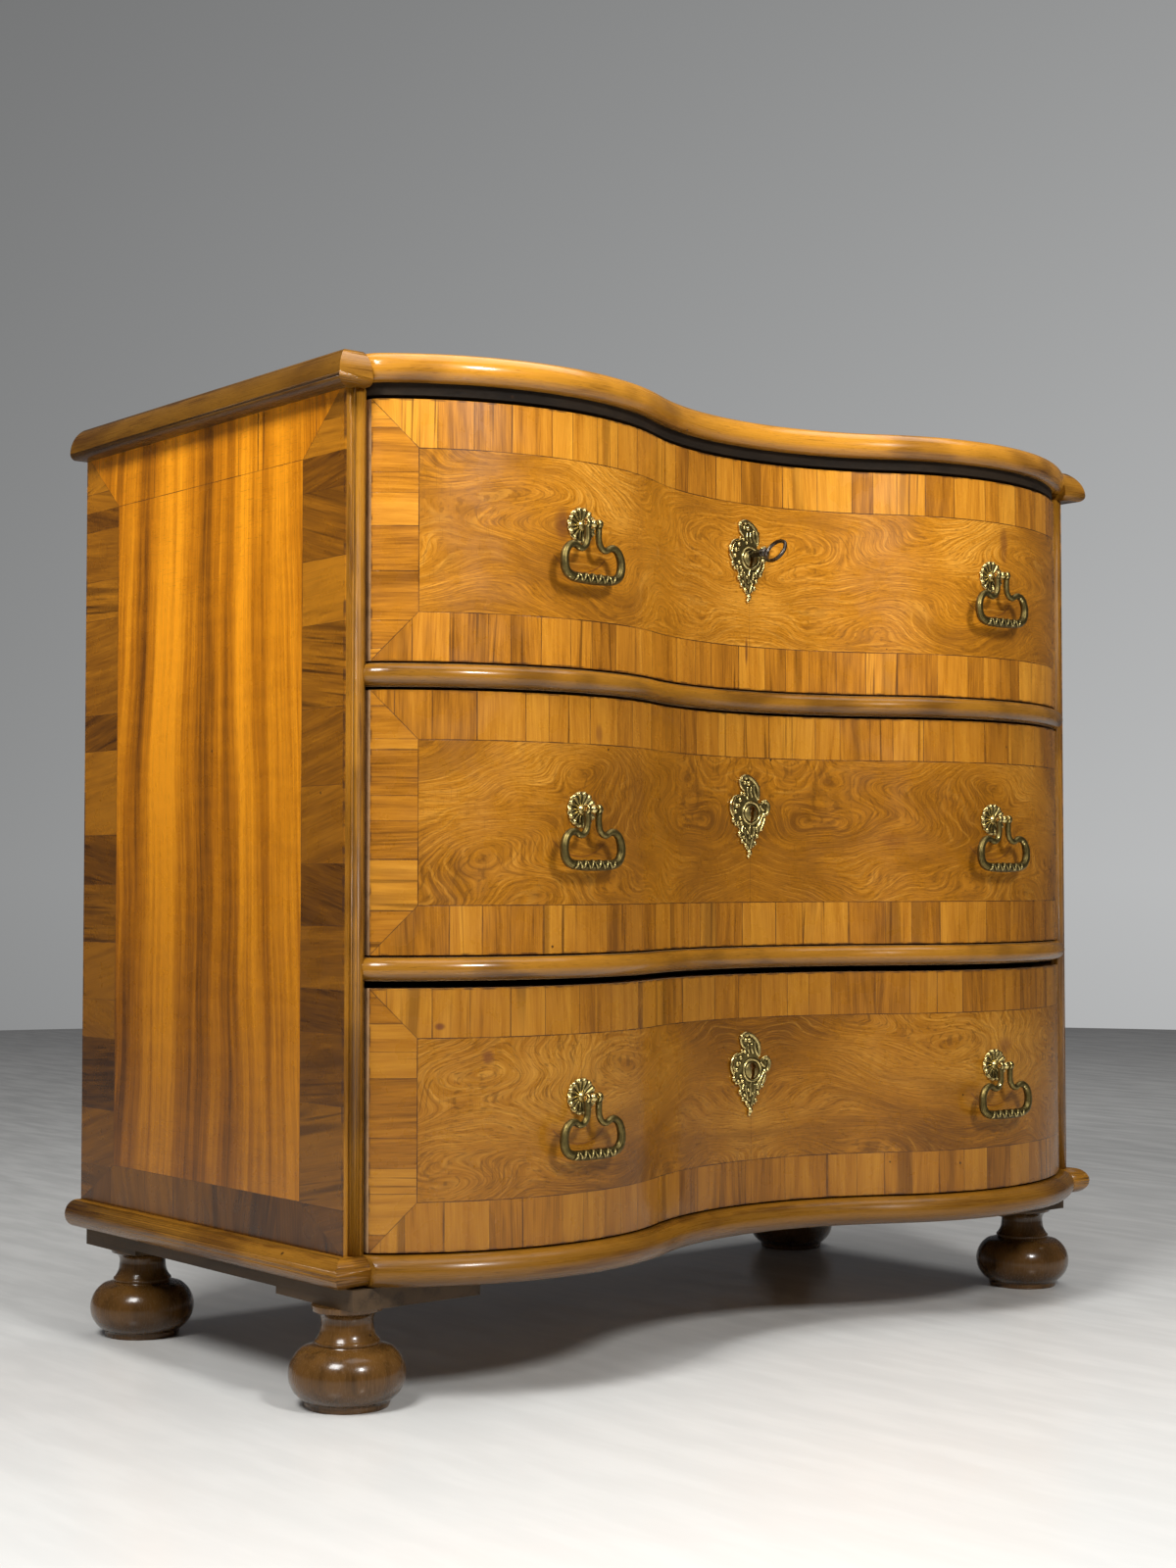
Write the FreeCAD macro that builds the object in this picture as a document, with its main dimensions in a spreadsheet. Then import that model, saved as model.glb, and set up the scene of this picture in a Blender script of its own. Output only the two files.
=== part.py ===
import FreeCAD, Part
import Sketcher
import math
import os
import types
from FreeCAD import Placement, Rotation, Vector

# Serpentine chest of three drawers on ball feet, veneered, with brass bails and locks.
# X runs across the chest, the front faces -Y, Z is up, and z = 0 is the floor.
# The "face" is the plan curve of the drawer fronts: hollow in the middle, a bulge on each side.
# Places across the depth are measured from the front plane of the stiles, towards the back.

SIZES = [
    ("carcass_width", 900, "over the veneered sides"),
    ("carcass_depth", 441, "stile front to back boards"),
    ("wall_core", 18.8, "side panel"),
    ("veneer", 1.2, "all veneers"),
    ("opening_height", 218.2, "each drawer's opening"),
    ("face_hollow", 6.4, "middle of the face behind the stile front"),
    ("bulge_reach", 66.4, "crest of each bulge in front of the stile front"),
    ("end_round", 26.8, "radius at each end of the face"),
    ("bail_swing", 20, "how far the bails stand out in front of the crest"),
    ("overrun", 5, "how far a cutting shape runs past what it cuts"),
    ("running_gap", 0.3, "between pieces that slide or turn"),
    ("stile_strip", 4, "facing on the front edge of the side"),
    ("stile_bead_radius", 6.5, "half round on the stile"),
    ("stile_bead_inset", 11.5, "its middle from the side"),
    ("board_height", 25, "bottom board and base mouldings"),
    ("base_side_reach", 16.7, "base moulding past the side"),
    ("base_front_reach", 15, "base moulding past the face"),
    ("base_seam", 16.5, "corner piece of the base, from the side"),
    ("moulding_root", 12, "front mouldings behind the face"),
    ("top_height", 24, "top board"),
    ("top_side_height", 30, "top moulding at the sides"),
    ("top_side_reach", 18.1, "top moulding past the side"),
    ("top_arris", 5.6, "sharp edge above its underside"),
    ("top_arris_depth", 5, "underside set back from that edge"),
    ("top_side_crown", 4, "where its rounding meets the top"),
    ("top_side_rise", 3.8, "how far that rounding swells"),
    ("top_front_low", 5.8, "front moulding's lower edge past the face"),
    ("top_front_high", 2.7, "its upper edge behind the face"),
    ("top_front_rise", 9, "how far its nose swells"),
    ("top_seam", 14.3, "corner piece of the top, from the side"),
    ("top_rail_height", 10, ""),
    ("top_rail_setback", 2, "behind the face"),
    ("rail_height", 19, ""),
    ("rail_depth", 70, "rail's back edge behind the stile front"),
    ("bead_radius", 9.2, "half round on the rails"),
    ("bead_reach", 7.3, "bead past the face"),
    ("bead_wrap", 6, "bead laps over each stile"),
    ("back_thickness", 12, "back boards"),
    ("runner_width", 30, ""),
    ("block_height", 17, "corner blocks over the feet"),
    ("block_length", 98, ""),
    ("long_block", 126, "the front left block, from the side"),
    ("long_block_front", 15, "in front of the stile front"),
    ("block_setback", 4, "the other blocks, from the outside"),
    ("batten_height", 12.4, "battens under the sides"),
    ("batten_width", 30, ""),
    ("foot_height", 81.4, ""),
    ("foot_radius", 47.5, ""),
    ("front_foot_inset", 20, "both front feet, from the side"),
    ("front_left_foot_depth", 22, "from the stile front"),
    ("front_right_foot_depth", 43, "from the stile front"),
    ("back_left_foot_inset", 39, "from the side"),
    ("back_left_foot_depth", 48, "from the back"),
    ("back_right_foot_inset", 27, "from the side"),
    ("back_right_foot_depth", 61, "from the back"),
    ("drawer_side_gap", 1.2, "drawer to carcass, each side"),
    ("drawer_lift", 1.5, "front above its rail"),
    ("top_drawer_gap", 3.5, "above the top front"),
    ("middle_drawer_gap", 2.8, "above the middle front"),
    ("bottom_drawer_gap", 6, "above the bottom front"),
    ("drawer_back_gap", 2, "drawer to back boards"),
    ("front_thickness", 24, "drawer front with its veneer"),
    ("end_block_depth", 24, "ends of a drawer front behind the stile front"),
    ("front_tail_length", 18, "dovetails that run into the front"),
    ("crossband", 40, "width of the veneer border"),
    ("side_thickness", 14, "drawer sides"),
    ("side_drop", 8, "drawer sides below the top of the front"),
    ("drawer_back_thickness", 12, ""),
    ("bottom_thickness", 9, "drawer bottom"),
    ("bottom_rise", 10, "drawer bottom above the lower edge of the sides"),
    ("groove", 5, "depth of the groove for the bottom"),
    ("keyhole_height", 126, "above the lower edge of a front"),
    ("keyhole_offset", 4, "right of the middle"),
    ("keyhole_radius", 3.5, ""),
    ("keyhole_slot", 4.2, "width of the slot"),
    ("keyhole_drop", 12, "slot's end below the hole's middle"),
    ("lock_width", 80, ""),
    ("lock_below", 13, "lock case below the keyhole's middle"),
    ("lock_depth", 14, ""),
    ("lock_plate", 2, "walls of the case"),
    ("lock_cover", 1.5, ""),
    ("bolt_width", 36, ""),
    ("bolt_above", 17, "bolt above the keyhole's middle"),
    ("bolt_thickness", 4, ""),
    ("bolt_gap", 0.5, "round the bolt"),
    ("mortise_gap", 1.2, "round the bolt in the rail"),
    ("mortise_depth", 10, ""),
    ("shank_radius", 3, "key"),
    ("shank_show", 20, "shank in front of the face"),
    ("bit_reach", 9.5, "from the axis"),
    ("bit_length", 5, "along the shank"),
    ("bit_thickness", 2.6, ""),
    ("collar_radius", 4.4, ""),
    ("collar_length", 4, ""),
    ("bow_radius", 11.3, "middle of the ring's rod"),
    ("bow_rod", 1.8, "radius of that rod"),
    ("key_lean", 30, "turn of the key, in degrees"),
    ("plate_thickness", 2, "escutcheon"),
    ("plate_width", 50, ""),
    ("plate_height", 78, ""),
    ("plate_ring", 10.6, "raised ring round the keyhole"),
    ("plate_rib", 1.7, "radius of ring and scrolls"),
    ("pull_inset", 11, "pulls from the crest of the bulge, towards the middle"),
    ("pull_height", 119, "above the lower edge of a front"),
    ("rosette_radius", 15.8, ""),
    ("rosette_thickness", 4.6, ""),
    ("scallop_radius", 1.5, "notches round the rim"),
    ("post_radius", 4.2, ""),
    ("post_pin_radius", 1.7, "cross pin"),
    ("pin_clearance", 0.1, "pin in the bail's eyes"),
    ("pivot_reach", 15.5, "cross pin in front of the face"),
    ("stud_radius", 2.4, "stud through the front"),
    ("stud_end", 4, "stud past the nut"),
    ("nut_width", 12, ""),
    ("nut_thickness", 4, ""),
    ("bail_rod", 2.6, "radius of the rod"),
    ("bail_width", 70, "over all"),
    ("bail_drop", 52, "from the pin to the bottom"),
    ("bail_swell", 4.2, "radius at the middle of the grip"),
    ("eye_radius", 4.3, ""),
    ("eye_length", 4, ""),
    ("eye_gap", 0.4, "eye to post"),
]

# Shares that have no unit, and counts
bulge_place_share = 270 / 428.8
hollow_radius_share = 0.544
end_angle = 60
back_board_count = 4
tail_count = 4
tail_root_share = 0.46
tail_tip_share = 0.62
scallop_count = 16
scallop_place_share = 1.05
route_radius_share = 0.45
grip_share = 0.26

# Outline of a foot from the floor up: radius, height and swelling, as shares of foot_radius,
# foot_height and foot_radius
foot_shares = [
    (0.73, 0.0, 0), (0.76, 0.086, 0), (0.76, 0.577, -0.242), (0.505, 0.614, 0),
    (0.505, 0.737, -0.057), (0.43, 0.753, 0), (0.46, 0.86, 0.02), (0.62, 1.0, -0.05),
]

# One leg of a bail from the eye to the grip, as shares of half its width and of its drop
bail_shares = [
    (0.17, -0.19), (0.30, -0.33), (0.56, -0.31), (0.86, -0.42), (0.97, -0.68), (0.76, -0.90),
    (0.34, -0.965),
]

# Outline of an escutcheon round the keyhole, as shares of plate_width and plate_height
plate_shares = [
    (-0.30, 0.36), (-0.23, 0.41), (-0.10, 0.42), (0.04, 0.385), (0.17, 0.31), (0.21, 0.16),
    (0.19, 0.09), (0.27, 0.08), (0.36, 0.115), (0.45, 0.05), (0.43, -0.03), (0.34, -0.09),
    (0.27, -0.22), (0.25, -0.31), (0.09, -0.42), (-0.02, -0.58), (-0.15, -0.52), (-0.22, -0.44),
    (-0.36, -0.35), (-0.36, -0.25), (-0.53, -0.18), (-0.51, -0.09), (-0.55, 0.01), (-0.52, 0.11),
    (-0.42, 0.165), (-0.28, 0.18), (-0.20, 0.225), (-0.28, 0.29),
]

# Raised scrolls on it: the large and the small one, the plume and the lower leaf
scroll_shares = [
    [(-0.28, 0.15), (-0.42, 0.13), (-0.50, 0.02), (-0.47, -0.08), (-0.36, -0.12)],
    [(0.31, 0.07), (0.39, 0.07), (0.405, -0.02), (0.33, -0.06)],
    [(0.15, 0.08), (0.17, 0.19), (0.12, 0.30), (-0.02, 0.37), (-0.17, 0.37), (-0.24, 0.32)],
    [(0.24, -0.10), (0.20, -0.22), (0.08, -0.34), (-0.02, -0.48)],
]

doc = FreeCAD.newDocument("serpentine_chest")
sheet = doc.addObject("Spreadsheet::Sheet", "Sizes")
for row, (name, value, meaning) in enumerate(SIZES, start=1):
    sheet.set(f"A{row}", name)
    sheet.set(f"B{row}", str(value))
    sheet.setAlias(f"B{row}", name)
    sheet.set(f"C{row}", meaning)
doc.recompute()


class Length:
    """A size of the sheet, or a sum or share of such sizes: its value and its formula."""

    def __init__(self, value, formula):
        self.value = value
        self.formula = formula

    def __float__(self):
        return self.value

    def __add__(self, other):
        other = as_length(other)
        return Length(self.value + other.value, f"({self.formula} + {other.formula})")

    def __sub__(self, other):
        other = as_length(other)
        return Length(self.value - other.value, f"({self.formula} - {other.formula})")

    def __mul__(self, other):
        other = as_length(other)
        return Length(self.value * other.value, f"({self.formula} * {other.formula})")

    def __truediv__(self, other):
        other = as_length(other)
        return Length(self.value / other.value, f"({self.formula} / {other.formula})")

    def __neg__(self):
        return Length(-self.value, f"(0 - {self.formula})")

    def __radd__(self, other):
        return as_length(other) + self

    def __rsub__(self, other):
        return as_length(other) - self

    def __rmul__(self, other):
        return as_length(other) * self


def as_length(number):
    return number if isinstance(number, Length) else Length(float(number), repr(float(number)))


L = types.SimpleNamespace(**{name: Length(float(sheet.get(name)), f"Sizes.{name}")
                             for name, value, meaning in SIZES})
N = types.SimpleNamespace(**{name: float(getattr(L, name)) for name, value, meaning in SIZES})

# Places that several pieces share
HALF = L.carcass_width / 2
WALL = L.wall_core + L.veneer
INSIDE = HALF - WALL
FACE_HALF = INSIDE - L.drawer_side_gap
BULGE_PLACE = FACE_HALF * bulge_place_share
BASE_UNDER = L.foot_height + L.block_height
BASE_TOP = BASE_UNDER + L.board_height
LOWER_RAIL = BASE_TOP + L.opening_height
LOWER_RAIL_TOP = LOWER_RAIL + L.rail_height
UPPER_RAIL = LOWER_RAIL_TOP + L.opening_height
UPPER_RAIL_TOP = UPPER_RAIL + L.rail_height
TOP_RAIL = UPPER_RAIL_TOP + L.opening_height
TOP_UNDER = TOP_RAIL + L.top_rail_height
TOP = TOP_UNDER + L.top_height
TOP_SIDE_UNDER = TOP - L.top_side_height
BACK_FRONT = L.carcass_depth - L.back_thickness
# The stile front stands here, so that the whole chest is centred on the origin
FRONT = (L.bulge_reach + L.bail_swing - L.carcass_depth) / 2
HERE = Vector(0, float(FRONT), 0)

nodes = []


def keep(piece, label):
    """Names a finished sub-part, which gets a file of its own."""
    piece.Label = label
    nodes.append(piece)
    return piece


def box(name, x, y, z):
    """A board between two places along each direction."""
    board = doc.addObject("Part::Box", name)
    for prop, ends in (("Length", x), ("Width", y), ("Height", z)):
        board.setExpression(prop, (ends[1] - ends[0]).formula)
    starts = (("x", as_length(x[0])), ("y", as_length(y[0]) + FRONT), ("z", as_length(z[0])))
    for axis, start in starts:
        board.setExpression(f"Placement.Base.{axis}", start.formula)
    return board


def mirrored(piece, name):
    """The same piece on the left side."""
    copy = doc.addObject("Part::Mirroring", name)
    copy.Source = piece
    copy.Normal = Vector(1, 0, 0)
    return copy


def group(label, pieces):
    """Like pieces that share one node."""
    bundle = doc.addObject("Part::Compound", label)
    bundle.Links = pieces
    return keep(bundle, label)


def feature(label, shape):
    """A sub-part whose shape comes from the face curve, in places from the stile front."""
    piece = doc.addObject("Part::Feature", label)
    piece.Shape = shape
    piece.Placement = Placement(HERE, Rotation())
    return keep(piece, label)


def block(x0, x1, y0, y1, z0, z1):
    """A plain block between corners, for cutting and joining."""
    corner = Vector(x0, y0, z0)
    return Part.makeBox(float(x1) - float(x0), float(y1) - float(y0), float(z1) - float(z0), corner)


def arc_middle(start, end, rise):
    """The middle of an arc that stands rise to the left of its chord."""
    run, climb = end[0] - start[0], end[1] - start[1]
    chord = math.hypot(run, climb)
    return ((start[0] + end[0]) / 2 - climb / chord * rise,
            (start[1] + end[1]) / 2 + run / chord * rise)


def profile_face(path, place):
    """A closed outline of (across, up, rise) steps, put into space by place(across, up)."""
    steps = [tuple(float(number) for number in step) for step in path]
    edges = []
    for start, end in zip(steps[-1:] + steps[:-1], steps):
        if end[2]:
            middle = arc_middle(start, end, end[2])
            edges.append(Part.Arc(place(*start[:2]), place(*middle), place(*end[:2])).toShape())
        else:
            edges.append(Part.makeLine(place(*start[:2]), place(*end[:2])))
    return Part.Face(Part.Wire(edges))


def centre_constraint(start, end, rise, index):
    """Where an arc's centre stands, along the direction in which its chord runs less."""
    run, climb = end[0] - start[0], end[1] - start[1]
    square = run * run + climb * climb
    back = (rise - square / 4 / rise) / 2
    chord = Length(math.sqrt(square.value), f"sqrt({square.formula})")
    if abs(climb.value) > abs(run.value):
        place = (start[0] + end[0]) / 2 - climb / chord * back
        return ("DistanceX", -1, 1, index, 3, place.value), f"centre_{index}", place
    place = (start[1] + end[1]) / 2 + run / chord * back
    return ("DistanceY", -1, 1, index, 3, place.value), f"centre_{index}", place


def profile_sketch(body, role, path):
    """The same outline as a sketch whose corners and radii are bound to the sheet."""
    plane = [datum for datum in body.Origin.OriginFeatures if datum.Role == role][0]
    sketch = body.newObject("Sketcher::SketchObject", body.Name + "_outline")
    sketch.AttachmentSupport = (plane, [""])
    sketch.MapMode = "FlatFace"
    path = [tuple(as_length(number) for number in step) for step in path]
    ends = []
    for start, end in zip(path[-1:] + path[:-1], path):
        first, last, rise = (start[0].value, start[1].value), (end[0].value, end[1].value), end[2]
        if not rise.value:
            line = Part.LineSegment(Vector(*first, 0), Vector(*last, 0))
            sketch.addGeometry(line, False)
            ends.append((1, 2))
            continue
        middle = arc_middle(first, last, rise.value)
        circle = Part.Arc(Vector(*first, 0), Vector(*middle, 0), Vector(*last, 0)).toShape().Curve
        centre = circle.Center
        angles = [math.atan2(point[1] - centre.y, point[0] - centre.x) for point in (first, last)]
        if rise.value > 0:
            angles.reverse()
        ring = Part.Circle(centre, Vector(0, 0, 1), circle.Radius)
        index = sketch.addGeometry(Part.ArcOfCircle(ring, angles[0], angles[1]), False)
        ends.append((2, 1) if rise.value > 0 else (1, 2))
        number, title, place = centre_constraint(start, end, rise, index)
        sketch.addConstraint(Sketcher.Constraint(*number))
        sketch.renameConstraint(sketch.ConstraintCount - 1, title)
        sketch.setExpression(f"Constraints.{title}", place.formula)
    for index, step in enumerate(path):
        following = (index + 1) % len(path)
        sketch.addConstraint(Sketcher.Constraint(
            "Coincident", index, ends[index][1], following, ends[following][0]))
        for axis, kind, zero_line in ((0, "DistanceX", -2), (1, "DistanceY", -1)):
            if step[axis].value == 0:
                sketch.addConstraint(Sketcher.Constraint(
                    "PointOnObject", index, ends[index][1], zero_line))
                continue
            number = sketch.addConstraint(Sketcher.Constraint(
                kind, -1, 1, index, ends[index][1], step[axis].value))
            title = f"{'across' if axis == 0 else 'up'}_{index}"
            sketch.renameConstraint(number, title)
            sketch.setExpression(f"Constraints.{title}", step[axis].formula)
    return sketch


def place_body(body, x, y, z):
    for axis, start in (("x", x), ("y", as_length(y) + FRONT), ("z", z)):
        body.setExpression(f"Placement.Base.{axis}", as_length(start).formula)


# The face curve, from the middle to the right end: a hollow arc, a bulging arc and an end arc,
# each tangent to the next. The left half mirrors it.

def face_arcs():
    """Centre, radius, side of the outside and angle limits of the three arcs."""
    crest = float(BULGE_PLACE)
    turn = 2 * math.atan((N.face_hollow + N.bulge_reach) / crest)
    both = crest / math.sin(turn)
    hollow = both * hollow_radius_share
    bulge = both - hollow
    hollow_centre = N.face_hollow - hollow
    bulge_centre = hollow_centre + both * math.cos(turn)
    last = math.radians(end_angle)
    reach = float(FACE_HALF) - crest - N.end_round * math.sin(last)
    meet = math.asin(reach / (bulge - N.end_round))
    end_x = crest + (bulge - N.end_round) * math.sin(meet)
    end_y = bulge_centre - (bulge - N.end_round) * math.cos(meet)
    return {
        "hollow": (0, hollow_centre, hollow, -1, -turn, turn),
        "bulge": (crest, bulge_centre, bulge, 1, -turn, meet),
        "end": (end_x, end_y, N.end_round, 1, meet, math.pi / 2),
    }


ARCS = face_arcs()


def on_arc(name, out, angle, z=0):
    """A point that stands out from the face by out, at an angle of one of its arcs."""
    x, y, radius, side, start, end = ARCS[name]
    radius = radius + side * out
    return Vector(x + radius * math.sin(angle), y - side * radius * math.cos(angle), z)


def mirror_x(point):
    return Vector(-point.x, point.y, point.z)


def curve_points(out, limit, z):
    """Right half of the curve as points of its arcs, up to the place limit."""
    x, y, radius, side, start, end = ARCS["bulge"]
    if on_arc("bulge", out, end).x >= limit:
        last = math.asin((limit - x) / (radius + out))
        arcs = [("bulge", start, last)]
    else:
        end_x, end_y, end_radius, side, end_start, end_last = ARCS["end"]
        reach = (limit - end_x) / (end_radius + out)
        last = math.asin(reach) if reach < 1 else end_last
        arcs = [("bulge", start, end), ("end", end_start, last)]
    return [[on_arc(name, out, angle, z) for angle in (first, (first + last) / 2, last)]
            for name, first, last in arcs]


def slab(out, limit, back, low, high, shoulder=None):
    """A board whose front edge follows the face curve, out in front of it."""
    limit, back, low, high = float(limit), float(back), float(low), float(high)
    right = curve_points(float(out), limit, low)
    left = [[mirror_x(point) for point in reversed(arc)] for arc in reversed(right)]
    turn = ARCS["hollow"][5]
    middle = [on_arc("hollow", float(out), angle, low) for angle in (-turn, 0, turn)]
    middle[0] = left[-1][2]
    middle[2] = right[0][0]
    edges = [Part.Arc(*arc).toShape() for arc in left + [middle] + right]
    start, end = left[0][0], right[-1][2]
    corners = [end, Vector(end.x, back, low), Vector(start.x, back, low), start]
    edges += [Part.makeLine(a, b) for a, b in zip(corners, corners[1:])]
    board = Part.Face(Part.Wire(edges)).extrude(Vector(0, 0, high - low))
    if shoulder is not None:
        inner = ARCS["end"][0]
        corners = [block(inner, limit, shoulder, back, low, high),
                   block(-limit, -inner, shoulder, back, low, high)]
        board = board.fuse(corners).removeSplitter()
    return board


def swept(path, limit):
    """A moulding along the whole face curve: its path is (out, z, rise) steps."""
    solids = []
    for name, (x, y, radius, side, start, end) in ARCS.items():
        first = end if side < 0 else start
        face = profile_face(path, lambda out, z: on_arc(name, out, first, z))
        solid = face.revolve(Vector(x, y, 0), Vector(0, 0, 1), math.degrees(end - start))
        solids.append(solid)
        if name != "hollow":
            solids.append(solid.mirror(Vector(0, 0, 0), Vector(1, 0, 0)))
    whole = solids[0].fuse(solids[1:]).removeSplitter()
    box_round = whole.BoundBox
    limits = block(-limit, limit, box_round.YMin - N.overrun, box_round.YMax + N.overrun,
                   box_round.ZMin - N.overrun, box_round.ZMax + N.overrun)
    return whole.common(limits)


def routed(points, radius, closed=False):
    """A rod along straight runs joined by tangent arcs, as large as the runs allow."""
    count = len(points)
    corners = range(count) if closed else range(1, count - 1)
    arcs = []
    for index in corners:
        before, here, after = points[index - 1], points[index], points[(index + 1) % count]
        into, out_of = (here - before), (after - here)
        short = min(into.Length, out_of.Length) * route_radius_share
        into.normalize()
        out_of.normalize()
        half_turn = into.getAngle(out_of) / 2
        inward = (out_of - into).normalize()
        bend = short / math.tan(half_turn)
        depth = bend / math.cos(half_turn) - bend
        arcs.append((here - into * short, here + inward * depth, here + out_of * short))
    edges = []
    at = arcs[-1][2] if closed else points[0]
    for start, middle, end in arcs:
        edges.append(Part.makeLine(at, start))
        edges.append(Part.Arc(start, middle, end).toShape())
        at = end
    if not closed:
        edges.append(Part.makeLine(at, points[-1]))
    wire = Part.Wire(edges)
    if not radius:
        return wire
    ring = Part.Wire(Part.makeCircle(radius, points[0], points[1] - points[0]))
    return wire.makePipeShell([ring], True, False)


# Mould profiles as (out or across, height, rise) steps

def base_side_profile():
    round_out = L.base_side_reach - L.board_height / 2
    return [(0, 0, 0), (round_out, 0, 0), (round_out, L.board_height, -L.board_height / 2),
            (0, L.board_height, 0)]


def top_side_profile():
    return [(0, 0, 0), (L.top_side_reach - L.top_arris_depth, 0, 0),
            (L.top_side_reach, L.top_arris, -L.top_arris_depth / 4),
            (L.top_side_crown, L.top_side_height, -L.top_side_rise), (0, L.top_side_height, 0)]


def base_front_profile():
    round_out = L.base_front_reach - L.board_height / 2
    return [(-L.moulding_root, BASE_UNDER, 0), (round_out, BASE_UNDER, 0),
            (round_out, BASE_TOP, -L.board_height / 2), (-L.moulding_root, BASE_TOP, 0)]


def top_front_profile():
    return [(-L.moulding_root, TOP_UNDER, 0), (L.top_front_low, TOP_UNDER, 0),
            (-L.top_front_high, TOP, -L.top_front_rise), (-L.moulding_root, TOP, 0)]


def bead_profile(low, high):
    middle = L.bead_reach - L.bead_radius
    return [(middle, (low + high) / 2 - L.bead_radius, 0),
            (middle, (low + high) / 2 + L.bead_radius, -L.bead_radius)]


# Carcass

def make_sides():
    panel = box("side_panel_right", (INSIDE, HALF - L.veneer), (L.stile_strip, L.carcass_depth),
                (BASE_TOP, TOP_UNDER))
    keep(panel, "side_panel_right")
    keep(mirrored(panel, "side_panel_left"), "side_panel_left")
    skin = box("side_veneer_right", (HALF - L.veneer, HALF), (as_length(0), L.carcass_depth),
               (BASE_TOP, TOP_UNDER))
    keep(skin, "side_veneer_right")
    keep(mirrored(skin, "side_veneer_left"), "side_veneer_left")


def make_stiles():
    """Facing strip with a half-round bead, padded upwards from one outline."""
    body = doc.addObject("PartDesign::Body", "stile_right")
    strip = L.wall_core
    bead = L.stile_bead_inset - L.veneer
    radius = L.stile_bead_radius
    front = radius
    outline = [(0, front, 0), (strip - bead - radius, front, 0),
               (strip - bead + radius, front, -radius), (strip, front, 0),
               (strip, front + L.stile_strip, 0), (0, front + L.stile_strip, 0)]
    sketch = profile_sketch(body, "XY_Plane", outline)
    pad = body.newObject("PartDesign::Pad", "stile_pad")
    pad.Profile = sketch
    pad.setExpression("Length", (TOP_SIDE_UNDER - BASE_TOP).formula)
    place_body(body, INSIDE, -front, BASE_TOP)
    group("stiles", [body, mirrored(body, "stile_left")])


def make_side_moulding(name, profile, reach, under):
    """A moulding along the right side, mitred at the front corner, and its mirror image."""
    body = doc.addObject("PartDesign::Body", name + "_body")
    sketch = profile_sketch(body, "XZ_Plane", profile)
    pad = body.newObject("PartDesign::Pad", name + "_pad")
    pad.Profile = sketch
    pad.Reversed = True
    start = reach + L.overrun
    pad.setExpression("Length", (L.carcass_depth + start).formula)
    corner = [(0, 0, 0), (start, 0, 0), (0, start, 0)]
    mitre = profile_sketch(body, "XY_Plane", corner)
    pocket = body.newObject("PartDesign::Pocket", name + "_mitre")
    pocket.Profile = mitre
    pocket.Type = "ThroughAll"
    pocket.Midplane = True
    place_body(body, HALF, -start, under)
    keep(body, name + "_right")
    keep(mirrored(body, name + "_left"), name + "_left")


def corner_return(profile, reach, under, seam):
    """The short piece of moulding on the front of the right corner."""
    inner = HALF - seam
    path = [(across, as_length(up) + under, rise) for across, up, rise in profile]
    face = profile_face(path, lambda out, z: Vector(float(inner), -out, z))
    solid = face.extrude(Vector(float(seam + reach), 0, 0))
    corner = Vector(HALF, 0, under - L.overrun)
    far = float(reach + L.overrun)
    points = [corner, corner + Vector(far, 0, 0), corner + Vector(far, -far, 0), corner]
    wedge = Part.Face(Part.makePolygon(points))
    height = float(L.top_side_height + L.board_height)
    return solid.cut(wedge.extrude(Vector(0, 0, height)))


def make_corner_returns():
    right = [corner_return(top_side_profile(), L.top_side_reach, TOP_SIDE_UNDER, L.top_seam),
             corner_return(base_side_profile(), L.base_side_reach, BASE_UNDER, L.base_seam)]
    left = [solid.mirror(Vector(0, 0, 0), Vector(1, 0, 0)) for solid in right]
    feature("corner_returns", Part.Compound(right + left))


def board_with_front_moulding(board_name, moulding_name, profile, low, high, seam):
    board = slab(-L.moulding_root, HALF, L.carcass_depth, low, high, shoulder=0)
    feature(board_name, board)
    inner, outer = ARCS["end"][0], float(HALF)
    ends = [block(start, start + outer - inner, 0, L.board_height, low - L.overrun, high + L.overrun)
            for start in (inner, -outer)]
    moulding = swept(profile, HALF - seam).cut(ends).cut(board)
    feature(moulding_name, moulding)


def mortise(rail_under):
    """The slot in a rail for the bolt of the lock below it."""
    front, back = bolt_depths()
    middle = N.keyhole_offset
    half = N.bolt_width / 2 + N.mortise_gap
    return block(middle - half, middle + half, front - N.mortise_gap, back + N.mortise_gap,
                 float(rail_under), float(rail_under) + N.mortise_depth)


def make_rails():
    top = slab(-L.top_rail_setback, INSIDE, L.rail_depth, TOP_RAIL, TOP_UNDER)
    feature("top_rail", top.cut(mortise(TOP_RAIL)))
    core = L.bead_radius - L.bead_reach
    beads = []
    for name, low, high in (("upper_rail", UPPER_RAIL, UPPER_RAIL_TOP),
                            ("lower_rail", LOWER_RAIL, LOWER_RAIL_TOP)):
        rail = slab(-core, INSIDE, L.rail_depth, low, high)
        feature(name, rail.cut(mortise(low)))
        bead = swept(bead_profile(low, high), INSIDE + L.bead_wrap)
        stile_middle = float(HALF - L.stile_bead_inset)
        span = float(high - low)
        for side in (-1, 1):
            stile = Part.makeCylinder(N.stile_bead_radius, span, Vector(side * stile_middle, 0, low))
            inner, outer = sorted((side * float(INSIDE), side * float(HALF)))
            bead = bead.cut([stile, block(inner, outer, 0, N.end_block_depth, low, high)])
        beads.append(bead)
    feature("rail_beads", Part.Compound(beads))


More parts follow.
